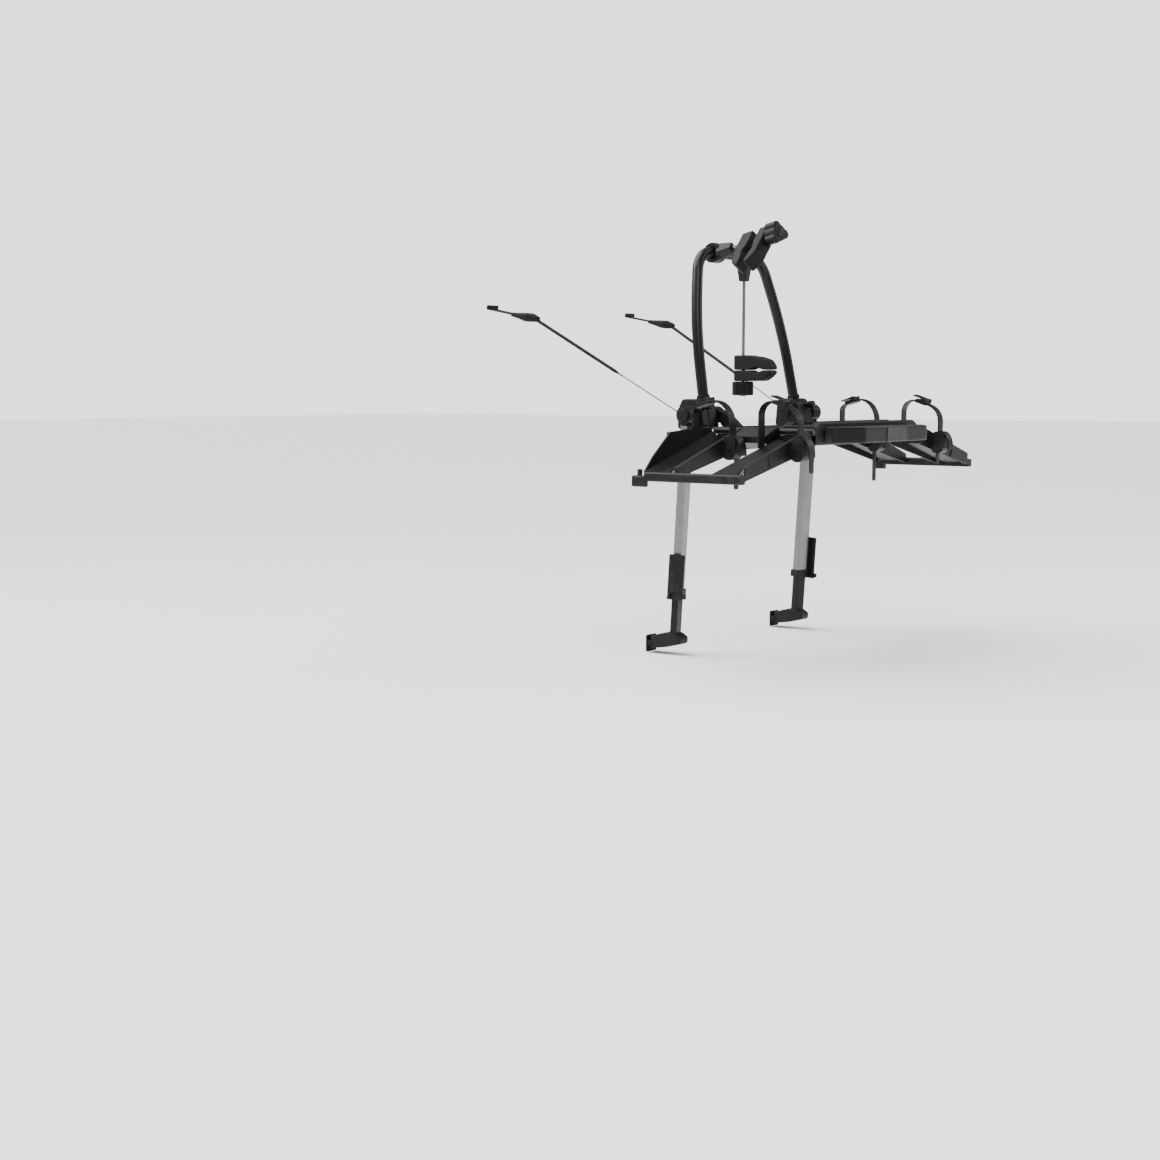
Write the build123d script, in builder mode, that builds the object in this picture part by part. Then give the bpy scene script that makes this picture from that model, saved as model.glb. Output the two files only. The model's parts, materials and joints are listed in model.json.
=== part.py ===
"""Trunk mounted rack for two bicycles: an arch frame held to the tailgate by two cables and two legs,
with a folding platform, two folding tray wings and two frame holders. Millimetres, +Z up.
X runs across the vehicle, +Y points at the tailgate, and the origin lies on the platform's pivot
axis, midway between the two hubs."""
from math import cos, radians, sin
import os

from build123d import *

# Arch tube, drawn in a plane that leans towards the vehicle
tube_radius = 13.5
tube_wall = 2.0
arch_lean = 10.2                 # degrees from upright
arch_foot_half = 211.7           # half the width where the tube leaves the hubs
arch_foot_low = 13.0
arch_leg_turn = 3.4              # degrees that the lower legs lean inwards
arch_leg_length = 97.2
arch_bow_radius = 900.0
arch_bow_angle = 13.6            # degrees
arch_corner_radius = 70.0
arch_shoulder_length = 38.0

# Hubs, with the platform's pivot axis through them
hub_inner = 190.0
hub_split = 229.0
hub_outer = 258.0
hub_top = 38.0
hub_bottom = -36.0
hub_top_front = 38.0
hub_mid_front = 47.0
hub_mid_front_z = 20.0
hub_low_front = 52.0
hub_top_rear = -2.0
hub_mid_rear = -15.0
hub_mid_rear_z = 24.0
hub_low_rear = -30.0
hub_rounding = 10.0
hub_edge_rounding = 3.0
axle_radius = 10.0
axle_head_radius = 15.0
axle_head_length = 4.0
bolt_radius = 4.0
bolt_head_radius = 7.0
bolt_head_length = 4.5
bolt_depth = 14.0                # length of a bolt inside the inner casting
bolt_one_y, bolt_one_z = 34.0, -20.0
bolt_two_y, bolt_two_z = -12.0, -22.0
run_clearance = 0.05             # radial clearance of pins and shafts
face_gap = 0.3                   # between faces of pieces that move past each other

# Rubber rest pads under the hubs, against the tailgate
rest_x = 210.0
rest_width = 34.0
rest_rear = 20.0
rest_tip = 106.0
rest_tip_top = -44.0
rest_tip_bottom = -52.0
rest_bottom = -57.0
rest_slope_start = 70.0
rest_rounding = 3.0

# Cable winders in the rear of the hubs
winder_x = 242.0
winder_z = 22.0
winder_knob_radius = 9.5
winder_knob_length = 15.0
winder_knob_rear = -36.0
winder_grip_radius = 2.0
winder_grips = 8
winder_shaft_radius = 4.0
spool_radius = 9.0
spool_length = 14.0
spool_start = 0.0

# Cables and top hooks
cable_radius = 1.5
cable_x = 252.0
cable_y = 61.0
cable_z = 10.0
cable_root = 33.0                # length of cable inside the hub at rest
cable_inside = 78.0              # depth of the hub's passage for the cable
hook_x = 298.0
hook_y = 468.0
hook_z = 240.0
sleeve_radius = 4.5
sleeve_length = 286.0
sleeve_taper = 14.0
grip_length = 66.0
grip_width = 38.0
grip_height = 22.0
grip_tip_height = 10.0
grip_tail = 14.0
hook_rise = 10.7                 # degrees that the hook plate rises
hook_length = 78.0
hook_width = 44.0
hook_plate = 2.5
hook_lip = 11.0
hook_pin_radius = 2.5
hook_tongue = 16.0

# Legs, in their own direction down from the pivot axis
leg_x = 286.0
leg_tilt = 3.5                   # degrees towards the vehicle at the foot
leg_toe_in = 12.0                # degrees that the legs' rear faces turn inwards
leg_head_radius = 22.0
leg_head_half = 18.0
leg_plug_end = 66.0
leg_wide = 38.0
leg_deep = 22.0
leg_wall = 2.0
leg_rounding = 5.0
leg_start = 26.0
leg_end = 423.0
collar_length = 18.0
collar_wall = 3.5
shin_clearance = 0.4
shin_top = 236.0
shin_end = 531.0
shin_rounding = 2.6
lever_length = 106.0
lever_pin_drop = 19.0             # from the tube's end down to the lever's pin
lever_thick = 9.0
lever_front = 15.0
lever_rear = 25.0
lever_gap = 1.0
lever_pin_radius = 3.0
lever_lug_deep = 12.0
lever_lug_rise = 12.0
lever_tab = 8.0
lever_tab_length = 10.0

# Feet and their swivelling pads
foot_half = 19.0
foot_heel_y = 6.0
foot_top_y = 50.0
foot_knee_y = 73.0
foot_toe_y = 103.0
foot_arch_y = 49.0
foot_rear_y = 8.0
foot_top_rise = 1.0              # heights above and below the shin's end
foot_heel_drop = 10.0
foot_knee_drop = 5.0
foot_toe_drop = 15.0
foot_toe_tall = 29.0
foot_arch_drop = 36.0
foot_rear_drop = 26.0
foot_rounding = 7.0
foot_socket = 16.0
foot_tongue_half = 8.0
pad_pin_radius = 3.0
pad_pin_back = 9.0
pad_ear_radius = 7.0
pad_width = 40.0
pad_thick = 5.0
pad_over = 5.0                   # how far the pad rises above the toe
pad_under = 8.0
pad_rounding = 4.0

# Platform that folds up about the hubs
arm_inner = 156.0
arm_outer = 186.0
arm_boss_radius = 20.0
arm_shoulder_y = -44.0
arm_shoulder_z = -1.0
arm_hump_y = -22.0
arm_hump_z = 9.0
arm_deck_y = -80.0
arm_top = -33.0
arm_bottom = -66.0
arm_heel_y = -26.0
arm_wall = 4.0
deck_front = -60.0
tray_width = 90.0
tray_pitch = 182.0               # between the two wheel trays
beam_half = 250.0
beam_wall = 4.0
beam_front_top = -28.0
beam_front_bottom = -80.0
beam_rear_top = -15.0
beam_rear_bottom = -68.0
beam_rear_half = 227.0
beam_groove_depth = 7.0
beam_groove_wide = 50.0

# Rear cover and its blank plate
cover_rear = -408.0
cover_half = 155.0
cover_side = 235.0
cover_side_y = -350.0
cover_root = 203.0
cover_top = -26.0
cover_bottom = -64.0
cover_wall = 3.5
cover_rounding = 14.0
badge_width = 103.0
badge_height = 33.0
badge_thick = 2.5
badge_sunk = 1.0
badge_angle = 83.0               # degrees of the plate's slanting ends

# Wing hinges
hinge_out = 8.0                  # beyond the beams' ends
hinge_z = -37.0
hinge_pin_radius = 5.0
hinge_knuckle_radius = 8.5
hinge_end_gap = 1.0

# Wheel trays on the wings
tray_length = 270.0
tray_wall = 4.0
tray_lip = 9.0
tray_floor_wide = 34.0
rear_outer_in, rear_outer_out = -31.0, -108.0        # rear tray, rear rim
rear_inner_in, rear_inner_out = -54.0, -125.0        # rear tray, front rim
front_inner_in, front_inner_out = -28.0, -114.0      # front tray, rear rim
front_outer_in, front_outer_out = -38.0, -122.0      # front tray, front rim
floor_in, floor_out = -60.0, -131.0
skirt_in, skirt_out = -80.0, -139.0
wall_high = -30.0                # the tall wall beside the vehicle
wall_flat = 84.0                 # along the tray, from its inner end
wall_bend, wall_bend_z = 172.0, -37.0
wall_drop, wall_drop_z = 239.0, -90.0
rib_along = 174.0
rib_thick = 5.0
rib_proud = 2.5
inner_bar_out = 11.0             # beyond the hinge's axis
inner_bar_thick = 7.0
inner_bar_top = -47.0
inner_bar_bottom = -76.0
bridge_length = 50.0
bridge_top = -48.0
bridge_thick = 14.0
end_bar_thick = 23.0
end_bar_top = -124.0
end_bar_bottom = -145.0
end_bar_rounding = 5.0
end_bar_front = -77.0
clip_front = -43.0
clip_thick = 16.0
clip_low = -158.0
clip_high = -132.0
clip_bump_radius = 6.0
clip_bump_length = 14.0

# Wheel straps, which loop over the trays
strap_along = 69.0               # from the trays' inner ends
strap_width = 25.0
strap_thick = 3.2
strap_top = 27.0                 # height of the seats of the buckles
strap_shoulder = 2.0
strap_side_inset = 3.0
strap_flat = 15.0                # half length of the flat part under the buckle
strap_seat_share = 0.25          # the seats' shift from the middle, of half the tray's width
strap_seat_turn = 18.0           # degrees that the buckles lean
strap_root_z = -24.0
strap_out = 17.0                 # from the tray's rim to the band's rear leg
strap_base_half = 16.0
strap_base_depth = 34.0
strap_base_high = -46.0
strap_base_low = -102.0
strap_base_rounding = 15.0
strap_boss_radius = 11.0
strap_boss_proud = 1.2
strap_guard_thick = 5.0          # curved guard over the base, its points from the tray's rim
strap_guard_start, strap_guard_start_z = 22.0, -48.0
strap_guard_bend, strap_guard_bend_z = 40.0, -60.0
strap_guard_end, strap_guard_end_z = 46.0, -92.0
strap_tail_wide = 16.0
strap_front_left_tail, strap_front_left_out = -170.0, 28.0
strap_front_right_tail, strap_front_right_out = -179.0, 11.0
strap_rear_left_tail, strap_rear_left_out = -127.0, 46.0
strap_rear_right_tail, strap_rear_right_out = -130.0, 11.0
buckle_wide = 33.0
buckle_long = 30.0
buckle_base = 4.0
buckle_ear = 3.0
buckle_ear_long = 10.0
buckle_pin_radius = 2.0
buckle_barrel_radius = 3.6
buckle_lever_thick = 3.2
buckle_lever_over = 7.0

# Frame holders on the arch's top tube
holder_one_x = -68.0
holder_two_x = 66.0
holder_one_reach = 143.0         # from the top tube to the fixed jaw's closing face
holder_two_reach = 289.0
holder_one_gap = 20.0           # how far the first holder's jaws stand open
holder_one_insert = 14.0         # length of rod inside each holder's knob
holder_two_insert = 31.0
holder_one_rise = 8.8            # degrees above level
holder_one_side_angle = 12.7     # degrees towards the left
jaw_one_roll = 50.0              # degrees that the first holder's jaws point below level
clamp_wide = 34.0
clamp_radius = 25.0
clamp_root = 28.0
clamp_neck = 64.0
clamp_neck_wide = 20.0
rod_radius = 4.0
rod_start = 34.0
jaw_half = 19.0
jaw_heel = 18.0
jaw_tip = 93.0
jaw_tip_thick = 9.0
jaw_nose = 82.0
jaw_nose_share = 0.66            # thickness at the nose, of the jaw's thickness
jaw_shoulder = 60.0
jaw_shoulder_share = 0.86
jaw_fixed_back = 24.0
jaw_moving_back = 66.0
jaw_fixed_thick = 38.0
jaw_moving_thick = 28.0
jaw_gap = 0.6
jaw_eye_start = 28.0
jaw_eye_mid = 48.0
jaw_eye_end = 69.0
jaw_eye_depth = 7.0
knob_body_radius = 21.0
knob_lobe_radius = 12.0
knob_outer_radius = 30.0
knob_length = 36.0
knob_gap = 0.5
knob_bore = 33.0
knob_lock_long = 20.0
knob_lock_wide = 12.0
knob_lock_proud = 1.5
lobe_count = 3

over = 2.0                       # how far cutting shapes run past a face

# Places along a wing, which follow from the beams' ends
hinge_x = beam_half + hinge_out
inner_bar_in = hinge_x + inner_bar_out
tray_in = inner_bar_in + inner_bar_thick
tray_out = tray_in + tray_length
end_bar_out = tray_out + end_bar_thick
clip_in = end_bar_out - clip_thick
bridge_end = tray_in + bridge_length
strap_x = tray_in + strap_along
rib_x = tray_in + rib_along

os.makedirs("parts", exist_ok=True)


def save(piece, name):
    """Labels a finished piece and writes it as one node."""
    piece.label = name
    export_step(piece, f"parts/{name}.step")


def mirrored(piece):
    """The same piece on the left."""
    with BuildPart() as other:
        mirror(piece, about=Plane.YZ)
    return other.part


def save_each(piece, name):
    """Writes a piece made on the right, and its mirror image as a node of its own."""
    save(piece, f"{name}_right")
    save(mirrored(piece), f"{name}_left")


def save_pair(piece, name):
    """Writes a piece made on the right together with its mirror image, as one node."""
    with BuildPart() as both:
        add(piece)
        mirror(piece, about=Plane.YZ)
    save(both.part, name)


def share(start, end, part):
    """The value a part of the way from start to end."""
    return start + (end - start) * part


def across(x):
    """Plane across the rack: its first axis is Y and its second is Z."""
    return Plane.YZ.offset(x)


def upright(y):
    """Upright plane facing the rear: its first axis is X and its second is Z."""
    return Plane.XZ.offset(-y)


def outline(plane, *points):
    """Closed straight sided outline on a plane."""
    with BuildSketch(plane) as flat:
        with BuildLine():
            Polyline(*points, close=True)
        make_face()
    return flat.sketch


# Arch tube
arch_plane = Plane(
    origin=(0, 0, 0), x_dir=(1, 0, 0), z_dir=(0, -cos(radians(arch_lean)), sin(radians(arch_lean)))
)
corner_turn = 90 - arch_leg_turn - arch_bow_angle
lean_in = radians(arch_leg_turn)
knee = (arch_foot_half - arch_leg_length * sin(lean_in), arch_foot_low + arch_leg_length * cos(lean_in))
with BuildLine(arch_plane) as half_path:
    leg_line = Line((arch_foot_half, arch_foot_low), knee)
    bow = JernArc(leg_line @ 1, leg_line % 1, arch_bow_radius, arch_bow_angle)
    shoulder = PolarLine(bow @ 1, arch_shoulder_length, direction=bow % 1)
    corner = JernArc(shoulder @ 1, shoulder % 1, arch_corner_radius, corner_turn)
    Line(corner @ 1, Vector(0, (corner @ 1).Y, (corner @ 1).Z))
top_y = (corner @ 1).Y
top_z = (corner @ 1).Z
foot_plane = Plane(origin=leg_line @ 0, z_dir=leg_line % 0)

with BuildPart() as arch_half:
    with BuildSketch(foot_plane):
        Circle(tube_radius)
        Circle(tube_radius - tube_wall, mode=Mode.SUBTRACT)
    sweep(path=half_path.wires()[0])
save_pair(arch_half.part, "arch_tube")

# Cable line, which the hubs need too
cable_start = Vector(cable_x, cable_y, cable_z)
hook_point = Vector(hook_x, hook_y, hook_z)
cable_vector = hook_point - cable_start
cable_length = cable_vector.length
cable_plane = Plane(origin=cable_start, x_dir=(1, 0, 0), z_dir=cable_vector)
hub_points = [
    (hub_low_front, hub_bottom),
    (hub_mid_front, hub_mid_front_z),
    (hub_top_front, hub_top),
    (hub_top_rear, hub_top),
    (hub_mid_rear, hub_mid_rear_z),
    (hub_low_rear, hub_bottom),
]


def hub_slice(start, end, edge_face):
    """One half of a hub's casing, with its outer edges rounded."""
    with BuildPart() as casing:
        extrude(outline(across(start), *hub_points), amount=end - start)
        fillet(casing.edges().filter_by(Axis.X), hub_rounding)
        fillet(casing.faces().sort_by(Axis.X)[edge_face].edges(), hub_edge_rounding)
        with BuildSketch(across(start)):
            Circle(axle_radius)
        extrude(amount=end - start, mode=Mode.SUBTRACT)
    return casing.part


bolt_places = [(bolt_one_y, bolt_one_z), (bolt_two_y, bolt_two_z)]
with BuildPart() as hub_core:
    add(hub_slice(hub_inner, hub_split, 0))
    with BuildSketch(foot_plane):
        Circle(tube_radius)
    extrude(amount=2 * hub_top, mode=Mode.SUBTRACT)
    with BuildSketch(across(hub_split)):
        with Locations(*bolt_places):
            Circle(bolt_radius)
    extrude(amount=-bolt_depth, mode=Mode.SUBTRACT)
save_each(hub_core.part, "hub_core")

with BuildPart() as hub_cover:
    add(hub_slice(hub_split, hub_outer, -1))
    with BuildSketch(across(hub_split)):
        with Locations(*bolt_places):
            Circle(bolt_radius)
    extrude(amount=hub_outer - hub_split, mode=Mode.SUBTRACT)
    with BuildSketch(upright(hub_low_rear)):
        with Locations((winder_x, winder_z)):
            Circle(winder_shaft_radius + run_clearance)
    extrude(amount=hub_low_rear - spool_start, mode=Mode.SUBTRACT)
    with BuildSketch(upright(spool_start - face_gap)):
        with Locations((winder_x, winder_z)):
            Circle(spool_radius + face_gap)
    extrude(amount=-(spool_length + 2 * face_gap), mode=Mode.SUBTRACT)
    with BuildSketch(cable_plane.offset(-cable_inside)):
        Circle(cable_radius + face_gap)
    extrude(amount=cable_inside + 2 * hub_rounding, mode=Mode.SUBTRACT)
save_each(hub_cover.part, "hub_cover")

with BuildPart() as hub_bolts:
    with BuildSketch(across(hub_split - bolt_depth)):
        with Locations(*bolt_places):
            Circle(bolt_radius)
    extrude(amount=hub_outer - hub_split + bolt_depth)
    with BuildSketch(across(hub_outer)):
        with Locations(*bolt_places):
            Circle(bolt_head_radius)
    extrude(amount=bolt_head_length)
    with BuildSketch(across(hub_outer + bolt_head_length)):
        with Locations(*bolt_places):
            RegularPolygon(bolt_radius, 6)
    extrude(amount=-bolt_head_length / 2, mode=Mode.SUBTRACT)
save_pair(hub_bolts.part, "hub_bolts")

# Pivot axles of the platform and the legs, with a head at each end
axle_in = arm_inner - face_gap
axle_out = leg_x + leg_head_half + face_gap
with BuildPart() as pivot_axle:
    with BuildSketch(across(axle_in)):
        Circle(axle_radius)
    extrude(amount=axle_out - axle_in)
    with BuildSketch(across(axle_out)):
        Circle(axle_head_radius)
    extrude(amount=axle_head_length)
    with BuildSketch(across(axle_in)):
        Circle(axle_head_radius)
    extrude(amount=-axle_head_length)
    rims = pivot_axle.faces().sort_by(Axis.X)
    fillet([*rims[-1].edges(), *rims[0].edges()], axle_head_length / 3)
save_pair(pivot_axle.part, "pivot_axles")

with BuildPart() as rest_pad:
    rest_points = [
        (rest_rear, hub_bottom),
        (hub_low_front - hub_rounding, hub_bottom),
        (rest_tip, rest_tip_top),
        (rest_tip, rest_tip_bottom),
        (rest_slope_start, rest_bottom),
        (rest_rear, rest_bottom),
    ]
    extrude(outline(across(rest_x - rest_width / 2), *rest_points), amount=rest_width)
    fillet(rest_pad.faces().sort_by(Axis.Y)[-1].edges(), rest_rounding)
save_pair(rest_pad.part, "rest_pads")

# Cable winders: knob, shaft and spool
knob_end = winder_knob_rear + winder_knob_length
with BuildPart() as winder:
    with BuildSketch(upright(winder_knob_rear)):
        with Locations((winder_x, winder_z)):
            Circle(winder_knob_radius)
            with PolarLocations(winder_knob_radius, winder_grips):
                Circle(winder_grip_radius, mode=Mode.SUBTRACT)
    extrude(amount=-winder_knob_length)
    with BuildSketch(upright(knob_end)):
        with Locations((winder_x, winder_z)):
            Circle(winder_shaft_radius)
    extrude(amount=knob_end - spool_start)
    with BuildSketch(upright(spool_start)):
        with Locations((winder_x, winder_z)):
            Circle(spool_radius)
    extrude(amount=-spool_length)
save_each(winder.part, "winder")

with BuildPart() as cable:
    with BuildSketch(cable_plane.offset(-cable_root)):
        Circle(cable_radius)
    extrude(amount=cable_length - sleeve_length + cable_root)
save_each(cable.part, "cable")

# Hook grip: a tapered sleeve on the cable and a flattened rubber body with a slot for the tongue
rise = radians(hook_rise)
hook_plane = Plane(origin=hook_point, x_dir=(1, 0, 0), z_dir=(0, cos(rise), sin(rise)))
tongue_pin = grip_length - 3 * hook_pin_radius
sleeve_plane = cable_plane.offset(cable_length - sleeve_length)
pin_plane = Plane(
    origin=hook_plane.from_local_coords((0, 0, tongue_pin)), x_dir=(0, 1, 0), z_dir=(1, 0, 0)
)
with BuildPart() as hook_grip:
    with BuildSketch(sleeve_plane):
        Circle(share(cable_radius, sleeve_radius, 0.5))
    with BuildSketch(sleeve_plane.offset(sleeve_taper)):
        Circle(sleeve_radius)
    loft()
    with BuildSketch(sleeve_plane.offset(sleeve_taper)):
        Circle(sleeve_radius)
    extrude(amount=sleeve_length - sleeve_taper)
    with BuildSketch(hook_plane.offset(-grip_tail)):
        RectangleRounded(3 * sleeve_radius, 3 * sleeve_radius, sleeve_radius)
    with BuildSketch(hook_plane.offset(grip_tail)):
        RectangleRounded(grip_width, grip_height, grip_height / 3)
    with BuildSketch(hook_plane.offset(grip_length)):
        RectangleRounded(grip_width, grip_tip_height, grip_tip_height / 3)
    loft(ruled=True)
    with BuildSketch(hook_plane.offset(share(grip_tail, grip_length, 0.5))):
        Rectangle(hook_tongue + 2 * face_gap, grip_height)
    extrude(amount=grip_length, mode=Mode.SUBTRACT)
    with BuildSketch(pin_plane):
        Circle(hook_pin_radius)
    extrude(amount=grip_width / 2 - face_gap, both=True, mode=Mode.SUBTRACT)
save_each(hook_grip.part, "hook_grip")

# Hook plate with its tongue, pin and turned down lip
plate_start = grip_length + hook_plate
slot_plane = Plane(
    origin=hook_plane.from_local_coords((0, 0, plate_start + hook_length / 2)),
    x_dir=(1, 0, 0),
    z_dir=hook_plane.y_dir,
)
with BuildPart() as hook:
    with BuildSketch(hook_plane.offset(plate_start)):
        Rectangle(hook_width, hook_plate)
    extrude(amount=hook_length)
    with BuildSketch(slot_plane):
        SlotOverall(hook_length / 2, hook_tongue, rotation=90)
    extrude(amount=hook_plate, both=True, mode=Mode.SUBTRACT)
    with BuildSketch(hook_plane.offset(tongue_pin)):
        Rectangle(hook_tongue, hook_plate)
    extrude(amount=plate_start - tongue_pin + hook_plate)
    with BuildSketch(hook_plane.offset(plate_start + hook_length - hook_plate)):
        with Locations((0, -hook_lip / 2)):
            Rectangle(hook_width, hook_lip)
    extrude(amount=hook_plate)
    with BuildSketch(pin_plane):
        Circle(hook_pin_radius + hook_plate / 2)
    extrude(amount=hook_tongue / 2, both=True)
    with BuildSketch(pin_plane):
        Circle(hook_pin_radius - run_clearance)
    extrude(amount=grip_width / 2 - 2 * face_gap, both=True)
save_each(hook.part, "hook_plate")

# Legs: head, tube and collar, and the sliding shin
tilt = radians(leg_tilt)
toe = radians(leg_toe_in)
down = Vector(0, sin(tilt), -cos(tilt))
# toed in about the leg's own axis; its first axis points outwards and its second rearwards
leg_plane = Plane(
    origin=(leg_x, 0, 0), x_dir=(cos(toe), -sin(toe) * cos(tilt), -sin(toe) * sin(tilt)), z_dir=down
)
bore_wide = leg_wide - 2 * leg_wall
bore_deep = leg_deep - 2 * leg_wall
shin_wide = bore_wide - 2 * shin_clearance
shin_deep = bore_deep - 2 * shin_clearance

with BuildPart() as leg_head:
    with BuildSketch(across(leg_x - leg_head_half)):
        Circle(leg_head_radius)
    extrude(amount=2 * leg_head_half)
    with BuildSketch(leg_plane.offset(axle_head_radius + face_gap)):
        RectangleRounded(leg_wide - leg_wall, leg_head_radius, leg_rounding)
    with BuildSketch(leg_plane.offset(leg_start)):
        RectangleRounded(leg_wide, leg_deep, leg_rounding)
    loft()
    with BuildSketch(leg_plane.offset(leg_start)):
        RectangleRounded(bore_wide, bore_deep, leg_rounding - leg_wall)
    extrude(amount=leg_plug_end - leg_start)
    with BuildSketch(across(leg_x - 2 * leg_head_half)):
        Circle(axle_radius + run_clearance)
    extrude(amount=4 * leg_head_half, mode=Mode.SUBTRACT)
save_each(leg_head.part, "leg_head")

with BuildPart() as leg_tube:
    with BuildSketch(leg_plane.offset(leg_start)):
        RectangleRounded(leg_wide, leg_deep, leg_rounding)
        RectangleRounded(bore_wide, bore_deep, leg_rounding - leg_wall, mode=Mode.SUBTRACT)
    extrude(amount=leg_end - leg_start)
save_each(leg_tube.part, "leg_tube")

collar_half = leg_wide / 2 + collar_wall
lever_mid = collar_half + lever_gap + lever_thick / 2
lever_pin_s = leg_end + lever_pin_drop
lever_top = lever_pin_s - lever_length
lever_pin_plane = Plane(
    origin=leg_plane.from_local_coords((lever_mid, 0, lever_pin_s)),
    x_dir=leg_plane.x_dir,
    z_dir=leg_plane.y_dir,
)
lug_out = lever_mid + lever_gap
with BuildPart() as collar:
    with BuildSketch(leg_plane.offset(leg_end)):
        RectangleRounded(2 * collar_half, leg_deep + 2 * collar_wall, leg_rounding)
    extrude(amount=collar_length)
    with BuildSketch(leg_plane.offset(lever_pin_s - lever_lug_rise)):
        with Locations((share(collar_half - over, lug_out, 0.5), 0)):
            Rectangle(lug_out - collar_half + over, lever_lug_deep)
    extrude(amount=lever_lug_rise + lever_thick / 2)
    with BuildSketch(lever_pin_plane):
        Circle(lever_pin_radius)
    extrude(amount=lever_front, both=True)
    with BuildSketch(leg_plane.offset(leg_end)):
        RectangleRounded(shin_wide + 2 * run_clearance, shin_deep + 2 * run_clearance, shin_rounding)
    extrude(amount=2 * collar_length, mode=Mode.SUBTRACT)
save_each(collar.part, "leg_collar")

# Cam lever that locks the telescope, hinged on the collar's pin
lever_deep = lever_front + lever_rear
lever_y = lever_deep / 2 - lever_front
with BuildPart() as cam_lever:
    with BuildSketch(leg_plane.offset(lever_top)):
        with Locations((lever_mid, lever_y)):
            RectangleRounded(lever_thick, lever_deep, lever_thick / 3)
    extrude(amount=lever_pin_s - lever_top)
    with BuildSketch(lever_pin_plane.offset(-lever_front)):
        Circle(lever_thick / 2)
    extrude(amount=lever_deep)
    with BuildSketch(leg_plane.offset(lever_pin_s - lever_tab_length)):
        with Locations((lever_mid, lever_rear + lever_tab / 2 - over)):
            Rectangle(lever_thick, lever_tab + 2 * over)
    extrude(amount=lever_tab_length)
    with BuildSketch(leg_plane.offset(lever_pin_s - lever_lug_rise - lever_gap)):
        with Locations((lever_mid, 0)):
            Rectangle(lever_thick + 2 * over, lever_lug_deep + 2 * face_gap)
    extrude(amount=lever_lug_rise + lever_thick, mode=Mode.SUBTRACT)
    with BuildSketch(lever_pin_plane):
        Circle(lever_pin_radius + run_clearance)
    extrude(amount=lever_front + face_gap, both=True, mode=Mode.SUBTRACT)
save_each(cam_lever.part, "cam_lever")

with BuildPart() as shin:
    with BuildSketch(leg_plane.offset(shin_top)):
        RectangleRounded(shin_wide, shin_deep, shin_rounding)
    extrude(amount=shin_end + foot_socket - shin_top)
save_each(shin.part, "leg_shin")

# Feet, with a tongue at the toe for the swivelling pad
shin_foot_z = -shin_end * cos(radians(leg_tilt))
foot_toe_top = shin_foot_z - foot_toe_drop
foot_toe_bottom = foot_toe_top - foot_toe_tall
pad_high = foot_toe_top + pad_over
pad_low = foot_toe_bottom - pad_under
pad_pin_y = foot_toe_y - pad_pin_back
pad_pin_z = share(foot_toe_top, foot_toe_bottom, 0.5)
with BuildPart() as foot:
    foot_points = [
        (foot_heel_y, shin_foot_z - foot_heel_drop),
        (foot_top_y / 2, shin_foot_z + foot_top_rise),
        (foot_top_y, shin_foot_z + foot_top_rise),
        (foot_knee_y, shin_foot_z - foot_knee_drop),
        (foot_toe_y, foot_toe_top),
        (foot_toe_y, foot_toe_bottom),
        (foot_arch_y, shin_foot_z - foot_arch_drop),
        (foot_rear_y, shin_foot_z - foot_rear_drop),
    ]
    extrude(outline(across(leg_x - foot_half), *foot_points), amount=2 * foot_half)
    heel = foot.edges().filter_by(Axis.X).sort_by(Axis.Y)
    fillet(heel[0:2], foot_rounding)
    with BuildSketch(leg_plane.offset(shin_end + foot_socket)):
        RectangleRounded(shin_wide, shin_deep, shin_rounding)
    extrude(amount=-2 * foot_socket, mode=Mode.SUBTRACT)
    for side in (-1, 1):
        with BuildSketch(across(leg_x + side * foot_tongue_half)):
            with Locations((pad_pin_y, pad_pin_z)):
                Circle(pad_ear_radius + face_gap)
            with Locations((foot_toe_y, pad_pin_z)):
                Rectangle(2 * pad_pin_back, 2 * foot_toe_tall)
        extrude(amount=side * foot_half, mode=Mode.SUBTRACT)
    with BuildSketch(across(leg_x - foot_tongue_half)):
        with Locations((foot_toe_y, pad_pin_z)):
            Rectangle(pad_pin_back, 2 * foot_toe_tall)
    extrude(amount=2 * foot_tongue_half, mode=Mode.SUBTRACT)
    with BuildSketch(across(leg_x - foot_half)):
        with Locations((pad_pin_y, pad_pin_z)):
            Circle(pad_pin_radius + run_clearance)
    extrude(amount=2 * foot_half, mode=Mode.SUBTRACT)
save_each(foot.part, "foot")

with BuildPart() as foot_pad:
    with BuildSketch(upright(foot_toe_y)):
        with Locations((leg_x, share(pad_low, pad_high, 0.5))):
            RectangleRounded(pad_width, pad_high - pad_low, pad_rounding)
    extrude(amount=-pad_thick)
    fillet(foot_pad.faces().sort_by(Axis.Y)[-1].edges(), pad_thick / 3)
    for side in (-1, 1):
        with BuildSketch(across(leg_x + side * (foot_tongue_half + face_gap))):
            with Locations((pad_pin_y, pad_pin_z)):
                Circle(pad_ear_radius)
            with Locations((share(pad_pin_y, foot_toe_y, 0.5), pad_pin_z)):
                Rectangle(foot_toe_y - pad_pin_y, 2 * pad_ear_radius)
        extrude(amount=side * (foot_half - foot_tongue_half - face_gap))
    with BuildSketch(across(leg_x - foot_half)):
        with Locations((pad_pin_y, pad_pin_z)):
            Circle(pad_pin_radius)
    extrude(amount=2 * foot_half)
save_each(foot_pad.part, "foot_pad")

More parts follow.
